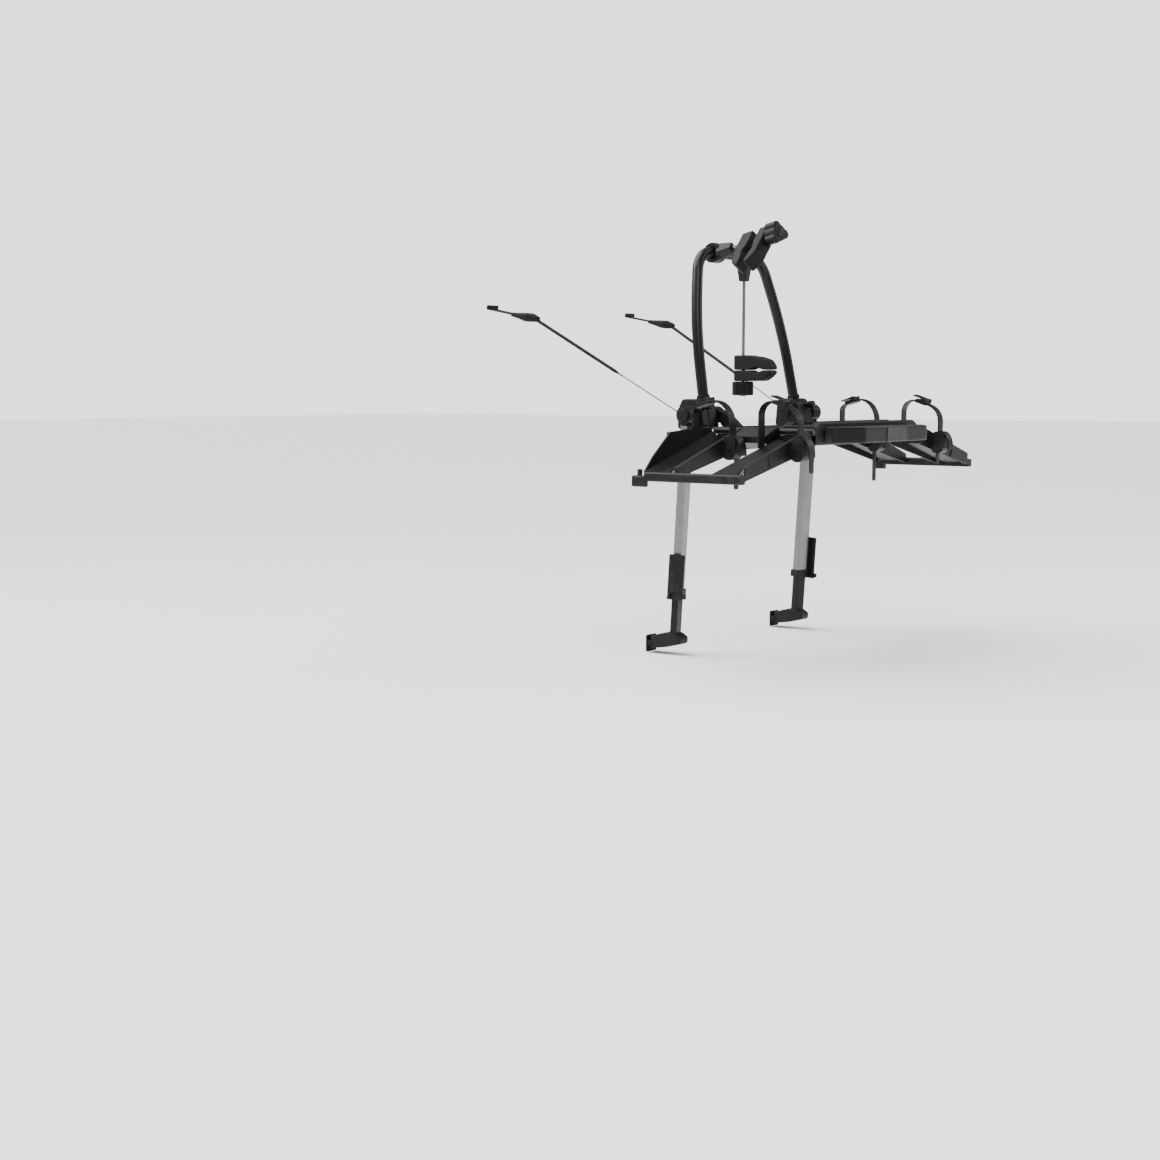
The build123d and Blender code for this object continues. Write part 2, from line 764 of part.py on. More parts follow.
# Platform: side arms, two beams, rear cover with a blank plate, and the wing hinge pins
front_rear_y = deck_front - tray_width
rear_front_y = deck_front - tray_pitch
deck_rear = rear_front_y - tray_width
arm_points = [
    (0, arm_boss_radius),
    (arm_hump_y, arm_hump_z),
    (arm_shoulder_y, arm_shoulder_z),
    (arm_deck_y, arm_top),
    (deck_rear + beam_wall, arm_top),
    (deck_rear + beam_wall, arm_bottom),
    (deck_front, arm_bottom),
    (arm_heel_y, -arm_boss_radius),
    (0, -arm_boss_radius),
]

with BuildPart() as side_arm:
    extrude(outline(across(arm_inner), *arm_points), amount=arm_outer - arm_inner)
    with BuildSketch(across(arm_inner)):
        Circle(arm_boss_radius)
    extrude(amount=arm_outer - arm_inner)
    with BuildSketch(across(arm_inner)):
        Circle(axle_radius + run_clearance)
    extrude(amount=arm_outer - arm_inner, mode=Mode.SUBTRACT)
    with BuildSketch(across(arm_outer)):
        with Locations((share(front_rear_y, rear_front_y, 0.5), share(arm_top, arm_bottom, 0.5))):
            RectangleRounded(tray_pitch - tray_width - 2 * arm_wall, (arm_top - arm_bottom) / 2, arm_wall)
    extrude(amount=-arm_wall, mode=Mode.SUBTRACT)
save_pair(side_arm.part, "side_arms")

with BuildPart() as wing_pin:
    with BuildSketch(upright(deck_front)):
        with Locations((hinge_x, hinge_z)):
            Circle(hinge_pin_radius)
    extrude(amount=deck_front - deck_rear)
save_pair(wing_pin.part, "wing_pins")


def beam(front_y, top, bottom):
    """Hollow cross beam with a wheel groove on top, slots for the arms and hinge knuckles at its ends."""
    middle = front_y - tray_width / 2
    inside_top = top - beam_groove_depth - beam_wall
    with BuildPart() as made:
        with BuildSketch(across(-beam_half)):
            with Locations((middle, share(top, bottom, 0.5))):
                RectangleRounded(tray_width, top - bottom, beam_wall)
            with Locations((middle, top)):
                Rectangle(beam_groove_wide, 2 * beam_groove_depth, mode=Mode.SUBTRACT)
        extrude(amount=2 * beam_half)
        with BuildSketch(across(-beam_half)):
            with Locations((middle, share(inside_top, bottom + beam_wall, 0.5))):
                Rectangle(tray_width - 2 * beam_wall, inside_top - bottom - beam_wall)
        extrude(amount=2 * beam_half, mode=Mode.SUBTRACT)
        for side in (-1, 1):
            with BuildSketch(upright(front_y)):
                with Locations((side * hinge_x, hinge_z)):
                    Circle(hinge_knuckle_radius)
                with Locations((side * share(beam_half - beam_wall, hinge_x, 0.5), hinge_z)):
                    Rectangle(hinge_x - beam_half + beam_wall, 2 * hinge_knuckle_radius)
            extrude(amount=tray_width)
            with BuildSketch(upright(front_y)):
                with Locations((side * hinge_x, hinge_z)):
                    Circle(hinge_pin_radius)
            extrude(amount=tray_width, mode=Mode.SUBTRACT)
            arm_slot = outline(across(side * arm_inner), *arm_points)
            extrude(arm_slot, amount=side * (arm_outer - arm_inner), mode=Mode.SUBTRACT)
    return made.part


save(beam(deck_front, beam_front_top, beam_front_bottom), "beam_front")

with BuildPart() as beam_rear:
    add(beam(rear_front_y, beam_rear_top, beam_rear_bottom))
    for side in (-1, 1):
        corner_points = [
            (side * beam_rear_half, beam_rear_top),
            (side * (beam_half + over), beam_front_top),
            (side * (beam_half + over), 0),
            (side * beam_rear_half, 0),
        ]
        extrude(outline(upright(rear_front_y), *corner_points), amount=tray_width, mode=Mode.SUBTRACT)
save(beam_rear.part, "beam_rear")


def cover_outline(inset):
    """Plan outline of the rear cover, drawn in by a wall's thickness."""
    return outline(
        Plane.XY.offset(cover_bottom),
        (-cover_root + inset, deck_rear),
        (-cover_side + inset, cover_side_y + inset / 2),
        (-cover_half + inset / 2, cover_rear + inset),
        (cover_half - inset / 2, cover_rear + inset),
        (cover_side - inset, cover_side_y + inset / 2),
        (cover_root - inset, deck_rear),
    )


with BuildPart() as rear_cover:
    extrude(cover_outline(0), amount=cover_top - cover_bottom)
    corners = rear_cover.edges().filter_by(Axis.Z).sort_by(Axis.Y)
    fillet(corners[0:4], cover_rounding)
    extrude(cover_outline(cover_wall), amount=cover_top - cover_bottom - cover_wall, mode=Mode.SUBTRACT)
    with BuildSketch(upright(cover_rear)):
        with Locations((0, share(cover_top, cover_bottom, 0.5))):
            Trapezoid(badge_width, badge_height, badge_angle)
    extrude(amount=-badge_sunk, mode=Mode.SUBTRACT)
save(rear_cover.part, "rear_cover")

with BuildPart() as badge:
    with BuildSketch(upright(cover_rear + badge_sunk)):
        with Locations((0, share(cover_top, cover_bottom, 0.5))):
            Trapezoid(badge_width, badge_height, badge_angle)
    extrude(amount=badge_thick)
save(badge.part, "badge_plate")


# Wings: two trays each, an inner hinge bar and an outer end bar
def tray_section(x, rear_y, rear_rim, front_rim, floor, skirt):
    """Section of a wheel tray: two skirts with a groove between them."""
    front_y = rear_y + tray_width
    middle = rear_y + tray_width / 2
    low = tray_wall / 2
    return outline(
        across(x),
        (rear_y, skirt),
        (rear_y, rear_rim),
        (rear_y + tray_lip, rear_rim),
        (middle - tray_floor_wide / 2, floor),
        (middle + tray_floor_wide / 2, floor),
        (front_y - tray_lip, front_rim),
        (front_y, front_rim),
        (front_y, skirt),
        (front_y - tray_wall, skirt),
        (front_y - tray_wall, front_rim - tray_wall),
        (front_y - tray_lip + low, front_rim - tray_wall),
        (middle + tray_floor_wide / 2 + low, floor - tray_wall),
        (middle - tray_floor_wide / 2 - low, floor - tray_wall),
        (rear_y + tray_lip - low, rear_rim - tray_wall),
        (rear_y + tray_wall, rear_rim - tray_wall),
        (rear_y + tray_wall, skirt),
    )


with BuildPart() as tray_front:
    inner_end = tray_section(tray_in, front_rear_y, front_inner_in, front_outer_in, floor_in, skirt_in)
    outer_end = tray_section(tray_out, front_rear_y, front_inner_out, front_outer_out, floor_out, skirt_out)
    loft([inner_end, outer_end], ruled=True)
    wall_points = [
        (tray_in, wall_high),
        (tray_in + wall_flat, wall_high),
        (tray_in + wall_bend, wall_bend_z),
        (tray_in + wall_drop, wall_drop_z),
        (tray_out, front_outer_out),
        (tray_out, skirt_out),
        (tray_in, skirt_in),
    ]
    extrude(outline(upright(deck_front), *wall_points), amount=tray_wall)
save_each(tray_front.part, "tray_front")

rib_part = (rib_x - tray_in) / (tray_out - tray_in)
rib_high = share(rear_outer_in, rear_outer_out, rib_part)
rib_low = share(skirt_in, skirt_out, rib_part)
with BuildPart() as tray_rear:
    inner_end = tray_section(tray_in, deck_rear, rear_outer_in, rear_inner_in, floor_in, skirt_in)
    outer_end = tray_section(tray_out, deck_rear, rear_outer_out, rear_inner_out, floor_out, skirt_out)
    loft([inner_end, outer_end], ruled=True)
    rib_points = [
        (rib_x, rib_high - rib_thick),
        (rib_x + rib_thick, rib_high - 2 * rib_thick),
        (rib_x - rib_thick, rib_low + rib_thick),
        (rib_x - 2 * rib_thick, rib_low + rib_thick),
    ]
    extrude(outline(upright(deck_rear), *rib_points), amount=rib_proud)
save_each(tray_rear.part, "tray_rear")

with BuildPart() as cross_bars:
    bar_points = [
        (inner_bar_in, inner_bar_top),
        (tray_in, inner_bar_top),
        (tray_in, inner_bar_bottom),
        (inner_bar_in, inner_bar_bottom),
    ]
    extrude(outline(upright(deck_front), *bar_points), amount=deck_front - deck_rear)
    bridge_points = [
        (hinge_x, hinge_z + hinge_knuckle_radius),
        (tray_in, hinge_z + hinge_knuckle_radius),
        (bridge_end, bridge_top),
        (bridge_end, bridge_top - bridge_thick),
        (tray_in, inner_bar_bottom),
        (inner_bar_in, inner_bar_bottom),
        (hinge_x, hinge_z - hinge_knuckle_radius),
    ]
    bridge_wide = tray_pitch - tray_width - 2 * hinge_end_gap
    extrude(outline(upright(front_rear_y - hinge_end_gap), *bridge_points), amount=bridge_wide)
    with BuildSketch(upright(front_rear_y - hinge_end_gap)):
        with Locations((hinge_x, hinge_z)):
            Circle(hinge_knuckle_radius)
    extrude(amount=bridge_wide)
    with BuildSketch(upright(front_rear_y)):
        with Locations((hinge_x, hinge_z)):
            Circle(hinge_pin_radius + run_clearance)
    extrude(amount=tray_pitch - tray_width, mode=Mode.SUBTRACT)
    with BuildSketch(upright(end_bar_front)):
        with Locations((share(tray_out, end_bar_out, 0.5), share(end_bar_top, end_bar_bottom, 0.5))):
            RectangleRounded(end_bar_out - tray_out, end_bar_top - end_bar_bottom, end_bar_rounding)
    extrude(amount=end_bar_front - deck_rear)
    with BuildSketch(upright(clip_front)):
        with Locations((share(clip_in, end_bar_out, 0.5), share(clip_low, clip_high, 0.5))):
            RectangleRounded(end_bar_out - clip_in, clip_high - clip_low, end_bar_rounding)
    extrude(amount=clip_front - end_bar_front)
    with BuildSketch(Plane.XY.offset(clip_high)):
        with Locations((share(clip_in, end_bar_out, 0.5), share(end_bar_front, clip_front, 0.5))):
            Circle(clip_bump_radius)
    extrude(amount=clip_bump_length)
save_each(cross_bars.part, "cross_bars")


# Wheel straps: a looped band with a flat seat for its buckle and a base on the tray's skirt
def seat_plane(rear_y, facing):
    """Plane on a strap's flat seat: its first axis runs rearwards along the band."""
    turn = radians(strap_seat_turn) * -facing
    seat_y = rear_y + tray_width / 2 * (1 + facing * strap_seat_share)
    return Plane(
        origin=(strap_x, seat_y, strap_top),
        x_dir=(0, -cos(turn), -sin(turn)),
        z_dir=(0, -sin(turn), cos(turn)),
    )


buckle_top = strap_thick / 2 + buckle_base
buckle_pin_up = buckle_top + buckle_barrel_radius + face_gap
buckle_pin_along = buckle_long / 2 - buckle_ear_long / 2


def buckle_pin_plane(seat):
    """Plane across a buckle through its pin, facing right."""
    return Plane(
        origin=seat.from_local_coords((buckle_pin_along, 0, buckle_pin_up)),
        x_dir=seat.x_dir,
        z_dir=seat.y_dir,
    )


def strap(rear_y, facing, foot_z, tail_out, tail_z, tray):
    """Band over a tray whose buckle leans to the front (1) or to the rear (-1)."""
    seat = seat_plane(rear_y, facing)
    front_end = seat.from_local_coords((-strap_flat, 0, 0))
    rear_end = seat.from_local_coords((strap_flat, 0, 0))
    front_y = rear_y + tray_width - strap_side_inset
    out_y = rear_y - strap_out
    base_middle = share(strap_base_high, strap_base_low, 0.5)
    back = (seat.x_dir.Y, seat.x_dir.Z)
    with BuildPart() as made:
        with BuildSketch(across(strap_x - strap_width / 2)):
            with BuildLine():
                Line((front_y, foot_z), (front_y, strap_shoulder))
                Spline(
                    (front_y, strap_shoulder), (front_end.Y, front_end.Z), tangents=((0, 1), back)
                )
                Line((front_end.Y, front_end.Z), (rear_end.Y, rear_end.Z))
                Spline((rear_end.Y, rear_end.Z), (out_y, strap_root_z), tangents=(back, (0, -1)))
                Line((out_y, strap_root_z), (out_y, base_middle))
            trace(line_width=strap_thick)
        extrude(amount=strap_width)
        with BuildSketch(across(strap_x - strap_base_half)):
            with Locations((rear_y - strap_base_depth / 2, base_middle)):
                RectangleRounded(strap_base_depth, strap_base_high - strap_base_low, strap_base_rounding)
        extrude(amount=2 * strap_base_half)
        with BuildSketch(across(strap_x)):
            with Locations((rear_y - strap_base_depth / 2, share(strap_base_high, base_middle, 0.8))):
                Circle(strap_boss_radius)
        extrude(amount=strap_base_half + strap_boss_proud, both=True)
        with BuildSketch(across(strap_x - strap_width / 2)):
            with BuildLine():
                Spline(
                    (rear_y - strap_guard_start, strap_guard_start_z),
                    (rear_y - strap_guard_bend, strap_guard_bend_z),
                    (rear_y - strap_guard_end, strap_guard_end_z),
                    tangents=((-1, 0), (0, -1)),
                )
            trace(line_width=strap_guard_thick)
        extrude(amount=strap_width)
        with BuildSketch(upright(rear_y - tail_out)):
            with Locations((strap_x, share(base_middle, tail_z, 0.5))):
                RectangleRounded(strap_tail_wide, base_middle - tail_z, strap_tail_wide / 3)
        extrude(amount=strap_thick / 2, both=True)
        with BuildSketch(seat.offset(-strap_thick)):
            Rectangle(buckle_long, buckle_wide)
        extrude(amount=strap_thick + buckle_top)
        ear_middle = buckle_wide / 2 - buckle_ear / 2
        with BuildSketch(seat.offset(buckle_top)):
            with Locations((buckle_pin_along, ear_middle), (buckle_pin_along, -ear_middle)):
                Rectangle(buckle_ear_long, buckle_ear)
        extrude(amount=2 * buckle_barrel_radius)
        with BuildSketch(buckle_pin_plane(seat)):
            Circle(buckle_pin_radius)
        extrude(amount=buckle_wide / 2, both=True)
        add(tray, mode=Mode.SUBTRACT)
    return made.part


def buckle(rear_y, facing):
    """Lever that lies on a strap's buckle and lifts about its pin."""
    seat = seat_plane(rear_y, facing)
    inside = buckle_wide - 2 * buckle_ear - 2 * face_gap
    reach = buckle_long + buckle_lever_over
    with BuildPart() as made:
        with BuildSketch(buckle_pin_plane(seat)):
            Circle(buckle_barrel_radius)
        extrude(amount=inside / 2, both=True)
        with BuildSketch(seat.offset(buckle_pin_up + buckle_barrel_radius - buckle_lever_thick)):
            with Locations((buckle_pin_along - reach / 2, 0)):
                Rectangle(reach, inside)
        extrude(amount=buckle_lever_thick)
        with BuildSketch(buckle_pin_plane(seat)):
            Circle(buckle_pin_radius + run_clearance)
        extrude(amount=buckle_wide, both=True, mode=Mode.SUBTRACT)
    return made.part


strap_part = (strap_x - strap_width / 2 - tray_in) / (tray_out - tray_in)
rear_foot_z = share(rear_inner_in, rear_inner_out, strap_part) - tray_wall
front_left = strap(
    front_rear_y, 1, wall_high, strap_front_left_out, strap_front_left_tail, tray_front.part
)
front_right = strap(
    front_rear_y, 1, wall_high, strap_front_right_out, strap_front_right_tail, tray_front.part
)
rear_left = strap(deck_rear, -1, rear_foot_z, strap_rear_left_out, strap_rear_left_tail, tray_rear.part)
rear_right = strap(
    deck_rear, -1, rear_foot_z, strap_rear_right_out, strap_rear_right_tail, tray_rear.part
)
save(mirrored(front_left), "strap_front_left")
save(front_right, "strap_front_right")
save(mirrored(rear_left), "strap_rear_left")
save(rear_right, "strap_rear_right")
save_each(buckle(front_rear_y, 1), "buckle_front")
save_each(buckle(deck_rear, -1), "buckle_rear")


# Frame holders: a clamp that turns on the top tube, a rod, two jaws and a torque knob
def holder(number, base_x, arm, jaw, reach, opening, insert):
    """Writes the five pieces of one holder; its arm and jaws point in the given directions."""
    base = Vector(base_x, top_y, top_z)
    arm = arm.normalized()
    jaw = (jaw - arm * jaw.dot(arm)).normalized()
    along = Plane(origin=base, x_dir=jaw, z_dir=arm)
    profile = Plane(origin=base, x_dir=jaw, z_dir=along.y_dir * -1)
    start = reach + jaw_gap + opening
    knob_at = start + jaw_moving_thick + knob_gap
    rod_end = knob_at + insert

    with BuildPart() as clamp:
        with BuildSketch(across(base_x - clamp_wide / 2)):
            with Locations((top_y, top_z)):
                Circle(clamp_radius)
        extrude(amount=clamp_wide)
        with BuildSketch(along.offset(tube_radius + run_clearance + over)):
            Rectangle(clamp_wide, clamp_root)
        with BuildSketch(along.offset(clamp_neck)):
            Rectangle(clamp_neck_wide, clamp_neck_wide)
        loft()
        with BuildSketch(across(base_x)):
            with Locations((top_y, top_z)):
                Circle(tube_radius + run_clearance)
        extrude(amount=clamp_wide, both=True, mode=Mode.SUBTRACT)
        with BuildSketch(along.offset(rod_start)):
            Circle(rod_radius)
        extrude(amount=clamp_neck, mode=Mode.SUBTRACT)
    save(clamp.part, f"holder_clamp_{number}")

    with BuildPart() as rod:
        with BuildSketch(along.offset(rod_start)):
            Circle(rod_radius)
        extrude(amount=rod_end - rod_start)
    save(rod.part, f"holder_rod_{number}")

    with BuildPart() as fixed_jaw:
        fixed_points = [
            (-jaw_heel, reach - jaw_fixed_thick),
            (jaw_fixed_back, reach - jaw_fixed_thick),
            (jaw_shoulder, reach - jaw_fixed_thick * jaw_shoulder_share),
            (jaw_nose, reach - jaw_fixed_thick * jaw_nose_share),
            (jaw_tip, reach - jaw_tip_thick),
            (jaw_tip, reach),
            (jaw_eye_end, reach),
            (jaw_eye_mid, reach - jaw_eye_depth),
            (jaw_eye_start, reach),
            (-jaw_heel, reach),
        ]
        extrude(outline(profile, *fixed_points), amount=jaw_half, both=True)
        with BuildSketch(along):
            Circle(rod_radius)
        extrude(amount=reach, mode=Mode.SUBTRACT)
    save(fixed_jaw.part, f"fixed_jaw_{number}")

    with BuildPart() as moving_jaw:
        moving_points = [
            (-jaw_heel, start),
            (jaw_eye_start, start),
            (jaw_eye_mid, start + jaw_eye_depth),
            (jaw_eye_end, start),
            (jaw_tip, start),
            (jaw_tip, start + jaw_tip_thick),
            (jaw_nose, start + jaw_moving_thick * jaw_nose_share),
            (jaw_moving_back, start + jaw_moving_thick),
            (-jaw_heel, start + jaw_moving_thick),
        ]
        extrude(outline(profile, *moving_points), amount=jaw_half, both=True)
        with BuildSketch(along.offset(start)):
            Circle(rod_radius + run_clearance)
        extrude(amount=jaw_moving_thick, mode=Mode.SUBTRACT)
    save(moving_jaw.part, f"moving_jaw_{number}")

    with BuildPart() as knob:
        with BuildSketch(along.offset(knob_at)):
            Circle(knob_body_radius)
            with PolarLocations(knob_outer_radius - knob_lobe_radius, lobe_count):
                Circle(knob_lobe_radius)
        extrude(amount=knob_length)
        with BuildSketch(along.offset(knob_at + knob_length)):
            SlotOverall(knob_lock_long, knob_lock_wide)
        extrude(amount=knob_lock_proud)
        with BuildSketch(along.offset(knob_at)):
            Circle(rod_radius + run_clearance)
        extrude(amount=knob_bore, mode=Mode.SUBTRACT)
    save(knob.part, f"holder_knob_{number}")


side_turn = radians(holder_one_side_angle)
rise_turn = radians(holder_one_rise)
roll_turn = radians(jaw_one_roll)
arm_one = Vector(-sin(side_turn) * cos(rise_turn), -cos(side_turn) * cos(rise_turn), sin(rise_turn))
jaw_one = Vector(-cos(roll_turn), 0, -sin(roll_turn))
holder(1, holder_one_x, arm_one, jaw_one, holder_one_reach, holder_one_gap, holder_one_insert)
holder(2, holder_two_x, Vector(0, 0, -1), Vector(0, -1, 0), holder_two_reach, 0, holder_two_insert)
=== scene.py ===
"""Finished model of a folding bicycle rack for a tailgate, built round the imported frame. Metres, +Z up,
+X to the right seen from behind the vehicle and +Y towards it."""
import json

import bmesh
import bpy
from math import cos, pi, radians, sin
from mathutils import Matrix, Vector
from mathutils.bvhtree import BVHTree

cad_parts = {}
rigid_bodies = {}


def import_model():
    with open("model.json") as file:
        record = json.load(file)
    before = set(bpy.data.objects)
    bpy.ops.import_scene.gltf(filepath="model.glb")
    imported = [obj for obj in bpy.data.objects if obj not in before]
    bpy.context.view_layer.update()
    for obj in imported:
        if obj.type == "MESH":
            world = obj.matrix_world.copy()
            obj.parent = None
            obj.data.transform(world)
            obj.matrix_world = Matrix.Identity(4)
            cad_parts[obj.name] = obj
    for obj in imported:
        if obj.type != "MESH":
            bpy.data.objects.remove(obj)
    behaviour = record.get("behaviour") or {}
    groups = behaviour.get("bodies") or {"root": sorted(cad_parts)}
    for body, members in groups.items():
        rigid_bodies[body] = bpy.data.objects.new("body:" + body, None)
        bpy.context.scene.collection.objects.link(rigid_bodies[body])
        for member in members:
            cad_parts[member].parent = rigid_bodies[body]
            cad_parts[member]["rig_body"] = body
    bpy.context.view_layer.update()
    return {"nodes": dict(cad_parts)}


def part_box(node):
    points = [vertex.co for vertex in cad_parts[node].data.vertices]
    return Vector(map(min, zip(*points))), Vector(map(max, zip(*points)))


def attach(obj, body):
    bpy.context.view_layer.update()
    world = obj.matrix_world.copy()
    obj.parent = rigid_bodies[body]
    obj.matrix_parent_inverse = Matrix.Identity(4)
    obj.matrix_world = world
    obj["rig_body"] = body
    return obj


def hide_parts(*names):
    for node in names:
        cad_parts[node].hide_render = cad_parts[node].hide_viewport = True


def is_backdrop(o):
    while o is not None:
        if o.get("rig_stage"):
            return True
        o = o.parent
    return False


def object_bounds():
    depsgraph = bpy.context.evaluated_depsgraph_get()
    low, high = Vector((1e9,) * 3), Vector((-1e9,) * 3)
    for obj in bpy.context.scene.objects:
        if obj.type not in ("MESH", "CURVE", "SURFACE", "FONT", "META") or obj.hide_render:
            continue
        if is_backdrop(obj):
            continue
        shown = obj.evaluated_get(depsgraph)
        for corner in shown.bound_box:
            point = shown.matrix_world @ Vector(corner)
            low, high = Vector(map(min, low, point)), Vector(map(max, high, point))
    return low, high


bl_info = {
    "name": "Tailgate Bicycle Rack",
    "version": (1, 0, 0),
    "blender": (4, 5, 0),
    "location": "View3D > Sidebar > Rack",
    "description": "Finishes each piece of a folding bicycle rack and sets up a pale studio",
    "category": "Object",
}

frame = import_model()
nodes = frame["nodes"]
SIDES = ("right", "left")
MM = 0.001

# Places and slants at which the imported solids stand
ARCH_LEAN = radians(10.2)
ARCH_LEG_TURN = radians(3.4)
ARCH_FOOT = Vector((211.7, 2.3, 12.8)) * MM
CABLE_START = Vector((252, 61, 10)) * MM
HOOK_PIN = Vector((298, 468, 240)) * MM
HOOK_RISE = radians(10.7)
SLEEVE_FROM_HOOK = 291 * MM
LEG_X = 286 * MM
TRAY_HALF_WIDTH = 45 * MM
TRAY_START = 284 * MM
STRAP_X = 345 * MM
TOP_TUBE = Vector((0, 71.836, 399.25)) * MM
HOLDER_X = {1: -68 * MM, 2: 66 * MM}
JAW_REACH = {1: 143 * MM, 2: 289 * MM}
JAW_OPENING = {1: 20 * MM, 2: 0.0}
JAW_GAP = 0.6 * MM
MOVING_JAW_THICK = 28 * MM
KNOB_GAP = 0.5 * MM
KNOB_LENGTH = 36 * MM


class RackSizes(bpy.types.PropertyGroup):
    """Edge radii and small sizes of the finished pieces."""

    weld: bpy.props.FloatProperty(
        name="Weld Distance", description="Points closer than this are merged",
        default=1e-5, subtype="DISTANCE")
    casting_edge: bpy.props.FloatProperty(
        name="Casting Edge", description="Edge radius of cast pieces", default=3.0 * MM, subtype="DISTANCE")
    plastic_edge: bpy.props.FloatProperty(
        name="Plastic Edge", description="Edge radius of moulded pieces",
        default=1.9 * MM, subtype="DISTANCE")
    fine_edge: bpy.props.FloatProperty(
        name="Fine Edge", description="Edge radius of pins, plates and buckles",
        default=0.6 * MM, subtype="DISTANCE")
    skin: bpy.props.FloatProperty(
        name="Skin", description="Grid of the larger soft edged mouldings",
        default=1.0 * MM, subtype="DISTANCE")
    fine_skin: bpy.props.FloatProperty(
        name="Fine Skin", description="Grid of the smaller soft edged mouldings",
        default=0.8 * MM, subtype="DISTANCE")
    tooth_pitch: bpy.props.FloatProperty(
        name="Tooth Pitch", description="Distance between the teeth on a wheel strap", default=4.5 * MM,
        subtype="DISTANCE")
    tooth_height: bpy.props.FloatProperty(
        name="Tooth Height", description="How far the strap's teeth stand up",
        default=1.1 * MM, subtype="DISTANCE")
    rib_pitch: bpy.props.FloatProperty(
        name="Rib Pitch", description="Distance between the ribs in a tray's groove", default=15.0 * MM,
        subtype="DISTANCE")
    rib_height: bpy.props.FloatProperty(
        name="Rib Height", description="How far the ribs stand up", default=1.8 * MM, subtype="DISTANCE")


class RackColours(bpy.types.PropertyGroup):
    """Base colours of the finishes."""

    tube: bpy.props.FloatVectorProperty(
        name="Tube", description="Powder coat of the arch", default=(0.0045, 0.0045, 0.005), subtype="COLOR")
    casting: bpy.props.FloatVectorProperty(
        name="Casting", description="Textured coat of the hubs and arms", default=(0.0045, 0.0045, 0.005),
        subtype="COLOR")
    plastic: bpy.props.FloatVectorProperty(
        name="Plastic", description="Moulded trays, beams and covers", default=(0.006, 0.006, 0.0066),
        subtype="COLOR")
    rubber: bpy.props.FloatVectorProperty(
        name="Rubber", description="Straps, jaws, grips and pads",
        default=(0.0048, 0.0048, 0.005), subtype="COLOR")
    aluminium: bpy.props.FloatVectorProperty(
        name="Aluminium", description="Anodised legs", default=(0.21, 0.212, 0.218), subtype="COLOR")
    steel: bpy.props.FloatVectorProperty(
        name="Steel", description="Zinc plated pins and bolts", default=(0.20, 0.20, 0.207), subtype="COLOR")
    plate: bpy.props.FloatVectorProperty(
        name="Plate", description="Blank plates on the cover and knobs", default=(0.012, 0.012, 0.013),
        subtype="COLOR")
    floor: bpy.props.FloatVectorProperty(
        name="Floor", description="Pale studio floor", default=(0.92, 0.92, 0.92), subtype="COLOR")


def sizes():
    return bpy.context.scene.rack_sizes


def colours():
    return bpy.context.scene.rack_colours


# Shader groups

def new_group(name, inputs, outputs):
    """An empty shader node group whose sockets all carry floats."""
    group = bpy.data.node_groups.new(name, "ShaderNodeTree")
    for label, value in inputs:
        socket = group.interface.new_socket(name=label, in_out="INPUT", socket_type="NodeSocketFloat")
        socket.default_value = value
    for label in outputs:
        group.interface.new_socket(name=label, in_out="OUTPUT", socket_type="NodeSocketFloat")
    return group, group.nodes.new("NodeGroupInput"), group.nodes.new("NodeGroupOutput")


def sum_nodes(tree, operation, a, b):
    node = tree.nodes.new("ShaderNodeMath")
    node.operation = operation
    for socket, value in zip(node.inputs, (a, b)):
        if isinstance(value, (int, float)):
            socket.default_value = value
        else:
            tree.links.new(value, socket)
    return node.outputs[0]


def map_range(tree, value, low, high):
    """The value's place between low and high, from 0 to 1."""
    node = tree.nodes.new("ShaderNodeMapRange")
    node.inputs["From Min"].default_value = low
    node.inputs["From Max"].default_value = high
    tree.links.new(value, node.inputs[0])
    return node.outputs[0]


def noise(tree, vector, scale, detail=3.0):
    node = tree.nodes.new("ShaderNodeTexNoise")
    node.inputs["Detail"].default_value = detail
    if isinstance(scale, (int, float)):
        node.inputs["Scale"].default_value = scale
    else:
        tree.links.new(scale, node.inputs["Scale"])
    tree.links.new(vector, node.inputs["Vector"])
    return node.outputs[0]


def object_vector(tree):
    return tree.nodes.new("ShaderNodeTexCoord").outputs["Object"]


def edge_wear_group():
    """Mask of the edges that hands and tyres rub, broken up by noise."""
    group, given, result = new_group("Rubbed Edges", [("Amount", 0.5), ("Patch Scale", 60.0)], ["Mask"])
    pointed = group.nodes.new("ShaderNodeNewGeometry").outputs["Pointiness"]
    edge = map_range(group, pointed, 0.52, 0.60)
    patches = map_range(group, noise(group, object_vector(group), given.outputs["Patch Scale"]), 0.42, 0.62)
    worn = sum_nodes(group, "MULTIPLY", edge, patches)
    group.links.new(sum_nodes(group, "MULTIPLY", worn, given.outputs["Amount"]), result.inputs["Mask"])
    return group


